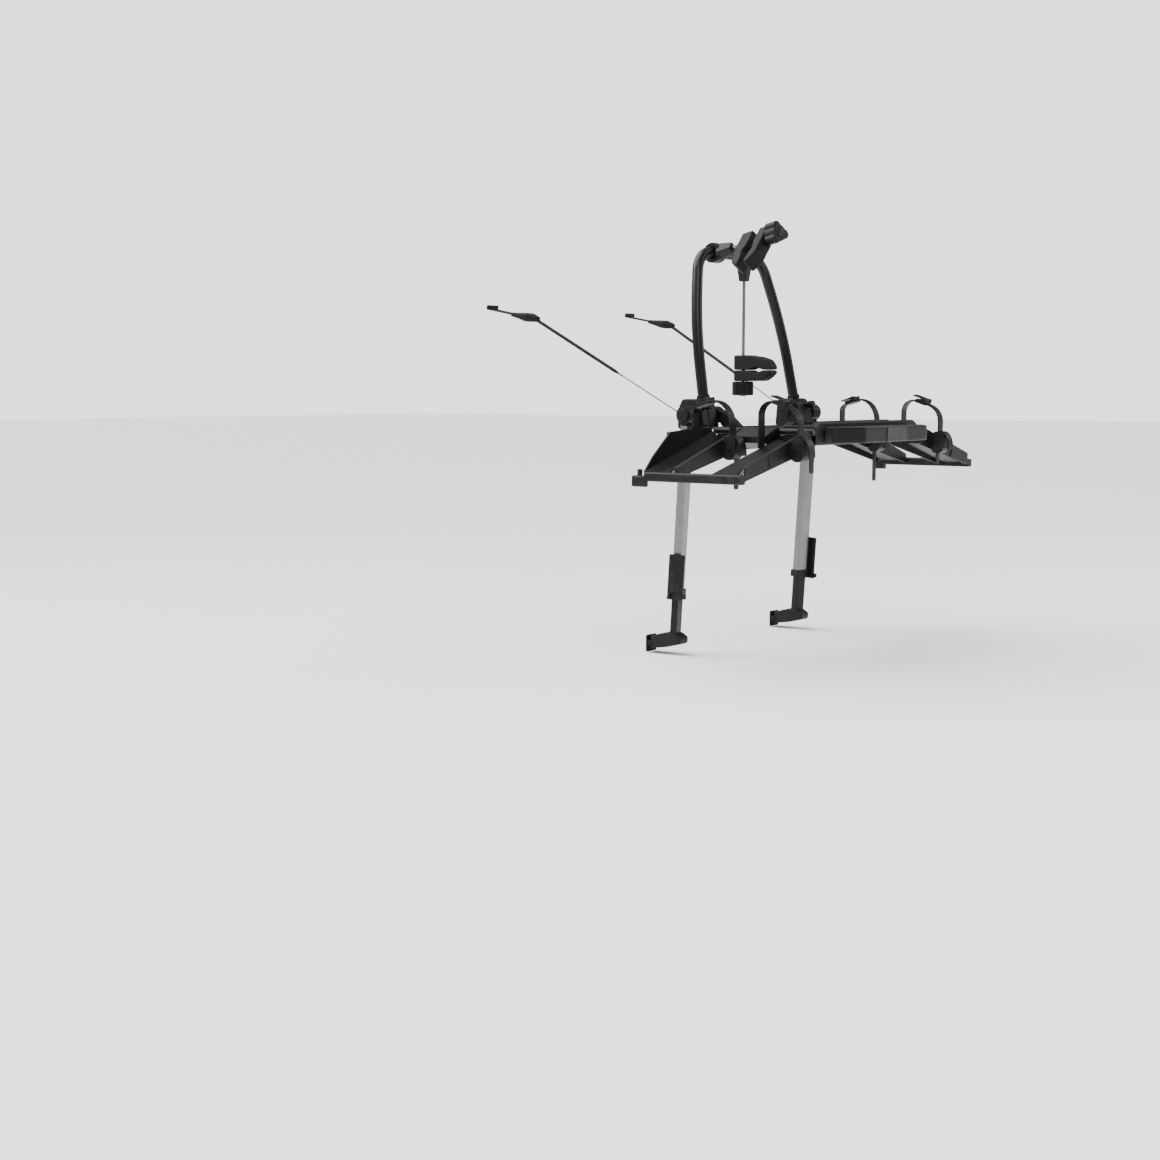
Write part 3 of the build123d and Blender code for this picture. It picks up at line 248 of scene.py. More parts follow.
def grain_group():
    """Fine moulded or sprayed grain: its height, and a roughness that drifts over the surface."""
    group, given, result = new_group(
        "Surface Grain", [("Grain Scale", 1400.0), ("Roughness", 0.5), ("Drift", 0.12)],
        ["Height", "Roughness"])
    vector = object_vector(group)
    cells = group.nodes.new("ShaderNodeTexVoronoi")
    group.links.new(vector, cells.inputs["Vector"])
    group.links.new(given.outputs["Grain Scale"], cells.inputs["Scale"])
    fine = noise(group, vector, given.outputs["Grain Scale"], 2.0)
    group.links.new(sum_nodes(group, "ADD", cells.outputs["Distance"], fine), result.inputs["Height"])
    drift = sum_nodes(group, "SUBTRACT", noise(group, vector, 22.0, 4.0), 0.5)
    swing = sum_nodes(group, "MULTIPLY", drift, given.outputs["Drift"])
    smudge = sum_nodes(group, "MULTIPLY", sum_nodes(group, "SUBTRACT", fine, 0.5), given.outputs["Drift"])
    both = sum_nodes(group, "ADD", swing, smudge)
    group.links.new(sum_nodes(group, "ADD", both, given.outputs["Roughness"]), result.inputs["Roughness"])
    return group


def dust_group():
    """Mask of the light dust that settles on faces that look up."""
    group, given, result = new_group("Settled Dust", [("Amount", 0.1)], ["Mask"])
    parts = group.nodes.new("ShaderNodeSeparateXYZ")
    group.links.new(group.nodes.new("ShaderNodeNewGeometry").outputs["Normal"], parts.inputs[0])
    upward = map_range(group, parts.outputs["Z"], 0.35, 1.0)
    cloud = map_range(group, noise(group, object_vector(group), 90.0, 6.0), 0.40, 0.70)
    layer = sum_nodes(group, "MULTIPLY", upward, cloud)
    group.links.new(sum_nodes(group, "MULTIPLY", layer, given.outputs["Amount"]), result.inputs["Mask"])
    return group


def drawn_line_group():
    """Fine lines that run down an extruded profile."""
    group, given, result = new_group(
        "Drawn Lines", [("Line Scale", 900.0), ("Stretch", 0.012)], ["Height", "Tone"])
    stretch = group.nodes.new("ShaderNodeCombineXYZ")
    stretch.inputs[0].default_value = 1.0
    stretch.inputs[1].default_value = 1.0
    group.links.new(given.outputs["Stretch"], stretch.inputs[2])
    squeezed = group.nodes.new("ShaderNodeVectorMath")
    squeezed.operation = "MULTIPLY"
    group.links.new(object_vector(group), squeezed.inputs[0])
    group.links.new(stretch.outputs[0], squeezed.inputs[1])
    lines = noise(group, squeezed.outputs[0], given.outputs["Line Scale"], 2.0)
    group.links.new(lines, result.inputs["Height"])
    group.links.new(map_range(group, lines, 0.25, 0.75), result.inputs["Tone"])
    return group


def twist_group():
    """Lay of a coated wire rope."""
    group, given, result = new_group("Rope Lay", [("Lay Scale", 190.0)], ["Height"])
    wave = group.nodes.new("ShaderNodeTexWave")
    wave.wave_type = "BANDS"
    wave.bands_direction = "DIAGONAL"
    group.links.new(object_vector(group), wave.inputs["Vector"])
    group.links.new(given.outputs["Lay Scale"], wave.inputs["Scale"])
    group.links.new(wave.outputs["Fac"], result.inputs["Height"])
    return group


groups = {}
finishes = {}


def place_group(tree, name, **values):
    node = tree.nodes.new("ShaderNodeGroup")
    node.node_tree = groups[name]
    for label, value in values.items():
        node.inputs[label.replace("_", " ")].default_value = value
    return node


def blend_colour(tree, mask, under, over):
    mix = tree.nodes.new("ShaderNodeMix")
    mix.data_type = "RGBA"
    tree.links.new(mask, mix.inputs["Factor"])
    for socket, colour in ((mix.inputs["A"], under), (mix.inputs["B"], over)):
        if isinstance(colour, bpy.types.NodeSocket):
            tree.links.new(colour, socket)
        else:
            socket.default_value = (*colour, 1.0)
    return mix.outputs["Result"]


def start_finish(name):
    material = bpy.data.materials.new(name)
    material.use_nodes = True
    return material, material.node_tree, material.node_tree.nodes["Principled BSDF"]


def bump(tree, shader, height, depth):
    node = tree.nodes.new("ShaderNodeBump")
    node.inputs["Strength"].default_value = 1.0
    node.inputs["Distance"].default_value = depth
    tree.links.new(height, node.inputs["Height"])
    tree.links.new(node.outputs["Normal"], shader.inputs["Normal"])


def coated_finish(name, colour, worn, grain, depth, rough, drift, wear, dust, coat=0.0):
    """A dark coat, moulding or rubber with grain, rubbed edges and a little dust."""
    material, tree, shader = start_finish(name)
    texture = place_group(tree, "grain", Grain_Scale=grain, Roughness=rough, Drift=drift)
    rubbed = place_group(tree, "wear", Amount=wear)
    settled = place_group(tree, "dust", Amount=dust)
    mottled = map_range(tree, noise(tree, object_vector(tree), 35.0, 5.0), 0.3, 0.7)
    base = blend_colour(tree, mottled, [c * 0.82 for c in colour], [c * 1.18 for c in colour])
    edged = blend_colour(tree, rubbed.outputs["Mask"], base, worn)
    dusty = blend_colour(tree, settled.outputs["Mask"], edged, (0.10, 0.098, 0.095))
    tree.links.new(dusty, shader.inputs["Base Color"])
    tree.links.new(texture.outputs["Roughness"], shader.inputs["Roughness"])
    shader.inputs["Specular IOR Level"].default_value = 0.2
    shader.inputs["Coat Weight"].default_value = coat
    shader.inputs["Coat Roughness"].default_value = 0.25
    bump(tree, shader, texture.outputs["Height"], depth)
    return material


def metal_finish(name, colour, rough, depth, lines):
    """Bare or anodised metal with drawn lines or a fine plated grain."""
    material, tree, shader = start_finish(name)
    texture = place_group(tree, "grain", Grain_Scale=1600.0, Roughness=rough, Drift=0.14)
    drawn = place_group(tree, "lines", Line_Scale=lines)
    rubbed = place_group(tree, "wear", Amount=0.4)
    base = blend_colour(tree, drawn.outputs["Tone"], [c * 0.78 for c in colour], colour)
    edged = blend_colour(tree, rubbed.outputs["Mask"], base, [c * 1.5 for c in colour])
    tree.links.new(edged, shader.inputs["Base Color"])
    tree.links.new(texture.outputs["Roughness"], shader.inputs["Roughness"])
    shader.inputs["Metallic"].default_value = 1.0
    bump(tree, shader, drawn.outputs["Height"], depth)
    return material


def rope_finish(name, colour):
    material, tree, shader = start_finish(name)
    lay = place_group(tree, "twist")
    texture = place_group(tree, "grain", Grain_Scale=900.0, Roughness=0.42, Drift=0.1)
    # The lay's height also sets the colour: painted shade in the grooves between the strands and a painted
    # highlight on their crowns.
    tone = blend_colour(tree, lay.outputs["Height"], [c * 0.6 for c in colour], [c * 1.5 for c in colour])
    tree.links.new(tone, shader.inputs["Base Color"])
    tree.links.new(texture.outputs["Roughness"], shader.inputs["Roughness"])
    bump(tree, shader, lay.outputs["Height"], 0.25 * MM)
    return material


def floor_finish(name, colour):
    material, tree, shader = start_finish(name)
    texture = place_group(tree, "grain", Grain_Scale=220.0, Roughness=0.75, Drift=0.08)
    patches = map_range(tree, noise(tree, object_vector(tree), 3.0, 4.0), 0.3, 0.7)
    tone = blend_colour(tree, patches, [c * 0.985 for c in colour], colour)
    tree.links.new(tone, shader.inputs["Base Color"])
    tree.links.new(texture.outputs["Roughness"], shader.inputs["Roughness"])
    return material


# Mesh helpers

def rounded_copy(node, radius, segments=3, crease=32.0):
    """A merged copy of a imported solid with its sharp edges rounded."""
    shape = bmesh.new()
    shape.from_mesh(nodes[node].data)
    bmesh.ops.remove_doubles(shape, verts=shape.verts, dist=sizes().weld)
    bmesh.ops.dissolve_limit(shape, angle_limit=radians(0.6), verts=shape.verts, edges=shape.edges)
    sharp = [e for e in shape.edges if len(e.link_faces) == 2 and e.calc_face_angle(0.0) > radians(crease)]
    bmesh.ops.bevel(
        shape, geom=sharp, offset=radius, offset_type="OFFSET", segments=segments, profile=0.5,
        affect="EDGES", clamp_overlap=True, loop_slide=True, material=-1)
    return shape


def add_block(shape, size, matrix, radius):
    """A rounded block added to a bmesh."""
    made = bmesh.ops.create_cube(shape, size=1.0, matrix=matrix @ Matrix.Diagonal((*size, 1.0)))
    edges = list({e for v in made["verts"] for e in v.link_edges})
    bmesh.ops.bevel(
        shape, geom=edges, offset=radius, offset_type="OFFSET", segments=2, profile=0.5,
        affect="EDGES", clamp_overlap=True, material=-1)


def add_disc(shape, radius, length, matrix, edge, segments=32):
    """A round boss added to a bmesh, its middle at the matrix and its axis along the matrix's Z."""
    made = bmesh.ops.create_cone(
        shape, cap_ends=True, cap_tris=False, segments=segments, radius1=radius,
        radius2=radius, depth=length, matrix=matrix)
    rims = {e for v in made["verts"] for e in v.link_edges if any(len(f.verts) > 4 for f in e.link_faces)}
    bmesh.ops.bevel(
        shape, geom=list(rims), offset=edge, offset_type="OFFSET", segments=2, profile=0.5,
        affect="EDGES", clamp_overlap=True, material=-1)


def add_ring(shape, radius, thick, matrix, segments=48):
    """A round bead added to a bmesh: a small circle spun about the matrix's Z."""
    made = bmesh.ops.create_circle(
        shape, cap_ends=False, radius=thick, segments=12,
        matrix=matrix @ Matrix.Translation((radius, 0, 0)) @ Matrix.Rotation(pi / 2, 4, "X"))
    edges = list({e for v in made["verts"] for e in v.link_edges})
    axis = matrix.to_3x3() @ Vector((0, 0, 1))
    bmesh.ops.spin(
        shape, geom=[*made["verts"], *edges], cent=matrix.translation, axis=axis, angle=2 * pi,
        steps=segments, use_merge=True, use_duplicate=False)


def put(shape, name, body, finish, replaced=()):
    """Makes a piece of a bmesh, with its faces outwards, riding on a body."""
    bmesh.ops.recalc_face_normals(shape, faces=shape.faces)
    mesh = bpy.data.meshes.new(name)
    shape.to_mesh(mesh)
    shape.free()
    mesh.shade_smooth()
    mesh.set_sharp_from_angle(angle=radians(38))
    mesh.materials.append(finishes[finish])
    made = bpy.data.objects.new(name, mesh)
    bpy.context.scene.collection.objects.link(made)
    weighted = made.modifiers.new("Even Shading", "WEIGHTED_NORMAL")
    weighted.keep_sharp = True
    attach(made, body)
    if replaced:
        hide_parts(*replaced)
    return made


def finish_node(node, radius, finish, segments=3, crease=32.0):
    """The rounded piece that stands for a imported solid."""
    shape = rounded_copy(node, radius, segments, crease)
    return put(shape, f"{node}_finished", nodes[node]["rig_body"], finish, [node])


def soft_node(node, finish, voxel, rounds):
    """The piece that stands for a packed moulding, its edges melted into one flowing surface."""
    made = finish_node(node, sizes().fine_edge, finish, 2)
    made.modifiers.clear()
    skin = made.modifiers.new("Even Skin", "REMESH")
    skin.mode = "VOXEL"
    skin.voxel_size = voxel
    skin.use_smooth_shade = True
    flow = made.modifiers.new("Soft Edges", "SMOOTH")
    flow.factor = 0.5
    flow.iterations = rounds
    return made


def repaint(node, finish):
    """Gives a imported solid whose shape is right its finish."""
    mesh = nodes[node].data
    mesh.materials.clear()
    mesh.materials.append(finishes[finish])


def surface(node):
    """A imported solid's surface, to seat details on."""
    shape = bmesh.new()
    shape.from_mesh(nodes[node].data)
    tree = BVHTree.FromBMesh(shape)
    shape.free()
    return tree


def seat(tree, start, direction):
    """Place and outward direction of the first surface that a ray meets, or None."""
    place, normal, _, _ = tree.ray_cast(Vector(start), Vector(direction).normalized())
    if place is None:
        return None
    if normal.dot(Vector(direction)) > 0:
        normal = -normal
    return place, normal


def frame_at(place, up, along):
    """Matrix with its Z along up and its X along the part of along that is square to it."""
    z = Vector(up).normalized()
    x = (Vector(along) - z * Vector(along).dot(z)).normalized()
    y = z.cross(x)
    return Matrix.Translation(place) @ Matrix((x, y, z)).transposed().to_4x4()


def mid(node):
    low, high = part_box(node)
    return (low + high) / 2


class RACK_OT_finishes(bpy.types.Operator):
    """Make the shader groups and the rack's finishes"""

    bl_idname = "rack.finishes"
    bl_label = "Make Finishes"

    def execute(self, context):
        groups.update(wear=edge_wear_group(), grain=grain_group(), dust=dust_group())
        groups.update(lines=drawn_line_group(), twist=twist_group())
        tone = colours()
        finishes["tube"] = coated_finish(
            "Satin powder coat", tone.tube, worn=(0.035, 0.035, 0.037), grain=1100.0, depth=0.03 * MM,
            rough=0.36, drift=0.10, wear=0.4, dust=0.03, coat=0.1)
        finishes["casting"] = coated_finish(
            "Textured casting coat", tone.casting, worn=(0.035, 0.035, 0.036), grain=800.0, depth=0.06 * MM,
            rough=0.50, drift=0.12, wear=0.4, dust=0.04)
        finishes["plastic"] = coated_finish(
            "Moulded glass filled plastic", tone.plastic, worn=(0.030, 0.030, 0.032), grain=1500.0,
            depth=0.03 * MM, rough=0.46, drift=0.12, wear=0.4, dust=0.03)
        finishes["cover"] = coated_finish(
            "Satin moulded cover", tone.plastic, worn=(0.028, 0.028, 0.030), grain=1700.0, depth=0.02 * MM,
            rough=0.38, drift=0.10, wear=0.3, dust=0.02)
        finishes["rubber"] = coated_finish(
            "Matt rubber", tone.rubber, worn=(0.022, 0.022, 0.022), grain=700.0, depth=0.05 * MM,
            rough=0.62, drift=0.10, wear=0.3, dust=0.05)
        # The strap's colour is the rubber's made half again lighter. This is partly a polymer tone of its own
        # and partly a painted highlight for the sheen on the straps.
        finishes["strap"] = coated_finish(
            "Strap polymer", [c * 1.5 for c in tone.rubber], worn=(0.03, 0.03, 0.03), grain=1200.0,
            depth=0.03 * MM, rough=0.42, drift=0.10, wear=0.4, dust=0.03)
        finishes["plate"] = coated_finish(
            "Blank satin plate", tone.plate, worn=(0.06, 0.06, 0.06), grain=1800.0, depth=0.01 * MM,
            rough=0.30, drift=0.08, wear=0.3, dust=0.02, coat=0.2)
        finishes["aluminium"] = metal_finish(
            "Satin anodised aluminium", tone.aluminium, rough=0.34, depth=0.03 * MM, lines=700.0)
        finishes["steel"] = metal_finish(
            "Zinc plated steel", tone.steel, rough=0.34, depth=0.03 * MM, lines=1300.0)
        finishes["rope"] = rope_finish("Black coated wire rope", (0.008, 0.008, 0.0085))
        finishes["floor"] = floor_finish("Pale studio floor", tone.floor)
        return {"FINISHED"}


class RACK_OT_arch(bpy.types.Operator):
    """Finish the arch tube, with the sleeves where it enters the hubs"""

    bl_idname = "rack.arch"
    bl_label = "Finish Arch"

    tube_radius: bpy.props.FloatProperty(
        name="Tube Radius", description="Outer radius of the arch tube",
        default=13.5 * MM, subtype="DISTANCE")
    sleeve_rise: bpy.props.FloatProperty(
        name="Sleeve Rise", description="Height of the sleeves above the hubs",
        default=9.0 * MM, subtype="DISTANCE")

    def execute(self, context):
        finish_node("arch_tube", sizes().fine_edge, "tube", 2)
        for side, sign in zip(SIDES, (1, -1)):
            shape = bmesh.new()
            flat = cos(ARCH_LEG_TURN)
            up = Vector((-sign * sin(ARCH_LEG_TURN), flat * sin(ARCH_LEAN), flat * cos(ARCH_LEAN)))
            hub_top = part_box(f"hub_core_{side}")[1].z
            foot = Vector((sign * ARCH_FOOT.x, ARCH_FOOT.y, ARCH_FOOT.z))
            top = foot + up * ((hub_top - foot.z) / up.z)
            seat_at = frame_at(top + up * self.sleeve_rise * 0.3, up, (1, 0, 0))
            add_disc(shape, self.tube_radius + 2.6 * MM, self.sleeve_rise, seat_at, 1.2 * MM, 40)
            add_ring(shape, self.tube_radius + 1.1 * MM, 0.9 * MM,
                     frame_at(top + up * self.sleeve_rise * 0.85, up, (1, 0, 0)))
            put(shape, f"arch_sleeve_{side}", "frame", "rubber")
        return {"FINISHED"}


class RACK_OT_hubs(bpy.types.Operator):
    """Finish the hubs, their bolts, axles, rest pads and cable winders"""

    bl_idname = "rack.hubs"
    bl_label = "Finish Hubs"

    boss_radius: bpy.props.FloatProperty(
        name="Boss Radius", description="Radius of the raised boss round the pivot axle", default=21.0 * MM,
        subtype="DISTANCE")

    def execute(self, context):
        size = sizes()
        for side, sign in zip(SIDES, (1, -1)):
            soft_node(f"hub_core_{side}", "casting", size.skin, 36)
            soft_node(f"hub_cover_{side}", "casting", size.skin, 36)
            finish_node(f"winder_{side}", size.fine_edge, "plastic", 2)
            low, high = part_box(f"hub_cover_{side}")
            outside = high.x if sign > 0 else low.x
            shape = bmesh.new()
            turn = Matrix.Rotation(sign * pi / 2, 4, "Y")
            ring = Matrix.Translation((outside, 0, 0)) @ turn
            add_ring(shape, self.boss_radius, 1.5 * MM, ring)
            put(shape, f"hub_trim_{side}", "frame", "casting")
            cap = bmesh.new()
            knob = mid(f"winder_{side}")
            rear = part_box(f"winder_{side}")[0].y
            facing = Matrix.Translation((knob.x, rear, knob.z)) @ Matrix.Rotation(pi / 2, 4, "X")
            add_disc(cap, 6.2 * MM, 1.6 * MM, facing, 0.5 * MM)
            put(cap, f"winder_cap_{side}", f"winder_{side}", "plate")
        finish_node("hub_bolts", 0.4 * MM, "casting", 2)
        finish_node("pivot_axles", 0.5 * MM, "casting", 2)
        finish_node("rest_pads", size.plastic_edge, "rubber")
        return {"FINISHED"}


class RACK_OT_cables(bpy.types.Operator):
    """Finish the stay cables, their rubber grips and the hook plates"""

    bl_idname = "rack.cables"
    bl_label = "Finish Cables and Hooks"

    ridge_count: bpy.props.IntProperty(
        name="Ridges", description="Finger ridges on each grip", default=6, min=2, max=12)

    def execute(self, context):
        size = sizes()
        for side, sign in zip(SIDES, (1, -1)):
            repaint(f"cable_{side}", "rope")
            soft_node(f"hook_grip_{side}", "rubber", size.fine_skin, 30)
            finish_node(f"hook_plate_{side}", 0.5 * MM, "casting", 2)
            grip = surface(f"hook_grip_{side}")
            shape = bmesh.new()
            along = Vector((0, cos(HOOK_RISE), sin(HOOK_RISE)))
            up = Vector((0, -sin(HOOK_RISE), cos(HOOK_RISE)))
            hook = Vector((sign * HOOK_PIN.x, HOOK_PIN.y, HOOK_PIN.z))
            for step in range(self.ridge_count):
                centre = hook + along * (20 + 5.2 * step) * MM
                for way in (1, -1):
                    found = seat(grip, centre + up * way * 40 * MM, up * -way)
                    if found:
                        width = (30 - 1.6 * step) * MM
                        add_block(shape, (width, 1.9 * MM, 1.6 * MM),
                                  frame_at(found[0], found[1], (1, 0, 0)), 0.6 * MM)
            put(shape, f"grip_ridges_{side}", f"hook_{side}", "rubber")
            ferrule = bmesh.new()
            start = Vector((sign * CABLE_START.x, CABLE_START.y, CABLE_START.z))
            pull = (hook - start).normalized()
            place = frame_at(hook - pull * SLEEVE_FROM_HOOK, pull, (1, 0, 0))
            add_disc(ferrule, 2.7 * MM, 12 * MM, place, 0.5 * MM)
            put(ferrule, f"cable_ferrule_{side}", f"hook_{side}", "steel")
        return {"FINISHED"}


class RACK_OT_legs(bpy.types.Operator):
    """Finish the telescopic legs, their collars, cam levers, feet and pads"""

    bl_idname = "rack.legs"
    bl_label = "Finish Legs"

    tilt: bpy.props.FloatProperty(
        name="Tilt", description="How far the legs lean towards the vehicle",
        default=radians(3.5), subtype="ANGLE")
    toe_in: bpy.props.FloatProperty(
        name="Toe In", description="How far the legs' faces turn inwards",
        default=radians(12), subtype="ANGLE")

    def leg_frame(self, sign, x, y, s):
        """Place on a leg: x outwards, y rearwards and s down from the pivot, with Z down the leg."""
        down = Vector((0, sin(self.tilt), -cos(self.tilt)))
        inward = -sin(self.toe_in)
        out = Vector((sign * cos(self.toe_in), inward * cos(self.tilt), inward * sin(self.tilt)))
        rear = down.cross(out) * sign
        return frame_at(Vector((sign * LEG_X, 0, 0)) + out * x + rear * y + down * s, down, out)

    def execute(self, context):
        size = sizes()
        for side, sign in zip(SIDES, (1, -1)):
            finish_node(f"leg_head_{side}", 1.0 * MM, "plastic", 2)
            finish_node(f"leg_tube_{side}", 0.4 * MM, "aluminium", 2)
            finish_node(f"leg_collar_{side}", size.plastic_edge, "plastic")
            finish_node(f"cam_lever_{side}", size.plastic_edge, "plastic")
            finish_node(f"leg_shin_{side}", 1.0 * MM, "plastic")
            soft_node(f"foot_{side}", "plastic", size.skin, 40)
            finish_node(f"foot_pad_{side}", size.plastic_edge, "rubber")
            lever = bmesh.new()
            for step in range(5):
                add_block(lever, (1.6 * MM, 26 * MM, 2.2 * MM),
                          self.leg_frame(sign, 32.5 * MM, 5 * MM, (344 + 6 * step) * MM), 0.6 * MM)
            thumb = self.leg_frame(sign, 32.6 * MM, 5 * MM, 402 * MM) @ Matrix.Rotation(pi / 2, 4, "Y")
            add_disc(lever, 5.5 * MM, 1.6 * MM, thumb, 0.5 * MM)
            put(lever, f"lever_ridges_{side}", f"cam_lever_{side}", "plastic")
            screws = bmesh.new()
            for s in (36, 52):
                head = self.leg_frame(sign, 0, 11.4 * MM, s * MM) @ Matrix.Rotation(pi / 2, 4, "X")
                add_disc(screws, 4.2 * MM, 1.8 * MM, head, 0.6 * MM)
            put(screws, f"leg_screws_{side}", f"leg_{side}", "casting")
            tread = bmesh.new()
            low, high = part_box(f"foot_pad_{side}")
            for step in range(6):
                at_z = low.z + (5 + 6.4 * step) * MM
                add_block(tread, (30 * MM, 1.2 * MM, 2.6 * MM),
                          Matrix.Translation((sign * LEG_X, high.y, at_z)), 0.5 * MM)
            put(tread, f"pad_tread_{side}", f"foot_pad_{side}", "rubber")
        return {"FINISHED"}


class RACK_OT_platform(bpy.types.Operator):
    """Finish the folding platform: arms, beams, rear cover, blank plate and hinge pins"""

    bl_idname = "rack.platform"
    bl_label = "Finish Platform"

    def execute(self, context):
        size = sizes()
        finish_node("side_arms", size.casting_edge, "casting")
        finish_node("beam_front", size.plastic_edge, "plastic")
        finish_node("beam_rear", size.plastic_edge, "plastic")
        soft_node("rear_cover", "cover", 1.4 * size.skin, 30)
        finish_node("badge_plate", size.fine_edge, "plate")
        finish_node("wing_pins", 0.4 * MM, "steel", 2)
        ribs = bmesh.new()
        for node in ("beam_front", "beam_rear"):
            beam = surface(node)
            centre = mid(node)
            count = int(0.28 / size.rib_pitch)
            for step in range(count + 1):
                x = (step - count / 2) * size.rib_pitch
                found = seat(beam, (x, centre.y, 0.1), (0, 0, -1))
                if found:
                    add_block(ribs, (3.0 * MM, 44 * MM, size.rib_height),
                              frame_at(found[0], found[1], (1, 0, 0)), 0.5 * MM)
        put(ribs, "beam_ribs", "platform", "plastic")
        seam = bmesh.new()
        low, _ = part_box("rear_cover")
        for x, z in ((-78, -31), (78, -31), (-78, -59), (78, -59)):
            spot = Matrix.Translation((x * MM, low.y, z * MM)) @ Matrix.Rotation(pi / 2, 4, "X")
            add_disc(seam, 2.6 * MM, 1.0 * MM, spot, 0.3 * MM)
        put(seam, "cover_plugs", "platform", "cover")
        return {"FINISHED"}


class RACK_OT_wings(bpy.types.Operator):
    """Finish the folding wings with their two wheel trays each"""

    bl_idname = "rack.wings"
    bl_label = "Finish Wings"

    def execute(self, context):
        size = sizes()
        for side, sign in zip(SIDES, (1, -1)):
            ribs = bmesh.new()
            for row in ("front", "rear"):
                node = f"tray_{row}_{side}"
                finish_node(node, size.plastic_edge, "plastic", 3, 25.0)
                tray = surface(node)
                _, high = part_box(node)
                centre_y = high.y - TRAY_HALF_WIDTH
                for step in range(int(0.25 / size.rib_pitch)):
                    x = sign * (TRAY_START + step * size.rib_pitch)
                    found = seat(tray, (x, centre_y, 0.1), (0, 0, -1))
                    if found:
                        add_block(ribs, (2.6 * MM, 31 * MM, size.rib_height),
                                  frame_at(found[0], found[1], (1, 0, 0)), 0.5 * MM)
            put(ribs, f"tray_ribs_{side}", f"wing_{side}", "plastic")
            finish_node(f"cross_bars_{side}", size.plastic_edge, "plastic")
        return {"FINISHED"}


class RACK_OT_straps(bpy.types.Operator):
    """Finish the wheel straps with their teeth, and their buckles"""

    bl_idname = "rack.straps"
    bl_label = "Finish Straps and Buckles"

    tooth_width: bpy.props.FloatProperty(
        name="Tooth Width", description="Width of the strap's teeth", default=15.0 * MM, subtype="DISTANCE")

    def execute(self, context):
        size = sizes()
        for side, sign in zip(SIDES, (1, -1)):
            for row in ("front", "rear"):
                node = f"strap_{row}_{side}"
                finish_node(node, size.fine_edge, "strap", 2, 40.0)
                buckle = f"buckle_{row}_{side}"
                finish_node(buckle, 0.8 * MM, "plastic", 3)
                band = surface(node)
                buckle_mid = mid(buckle)
                _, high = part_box(f"tray_{row}_{side}")
                centre = Vector((sign * STRAP_X, high.y - TRAY_HALF_WIDTH, -0.02))
                teeth = bmesh.new()
                last = None
                for step in range(360):
                    turn = radians(-12 + step * 0.6)
                    out = Vector((0, cos(turn), sin(turn)))
                    found = seat(band, centre + out * 0.2, -out)
                    if not found or found[0].z < -0.045:
                        continue
                    if (found[0] - buckle_mid).length < 23 * MM:
                        continue
                    if last is None or (found[0] - last).length >= size.tooth_pitch:
                        last = found[0]
                        add_block(teeth, (self.tooth_width, 1.7 * MM, 2 * size.tooth_height),
                                  frame_at(found[0], found[1], (1, 0, 0)), 0.4 * MM)
                put(teeth, f"strap_teeth_{row}_{side}", f"wing_{side}", "strap")
                grips = bmesh.new()
                lever = surface(buckle)
                for step in range(6):
                    y = buckle_mid.y + (12 - 3.4 * step) * MM
                    found = seat(lever, (buckle_mid.x, y, 0.2), (0, 0, -1))
                    if found:
                        add_block(grips, (20 * MM, 1.3 * MM, 1.2 * MM),
                                  frame_at(found[0], found[1], (1, 0, 0)), 0.4 * MM)
                put(grips, f"buckle_grips_{row}_{side}", buckle, "plastic")
        return {"FINISHED"}


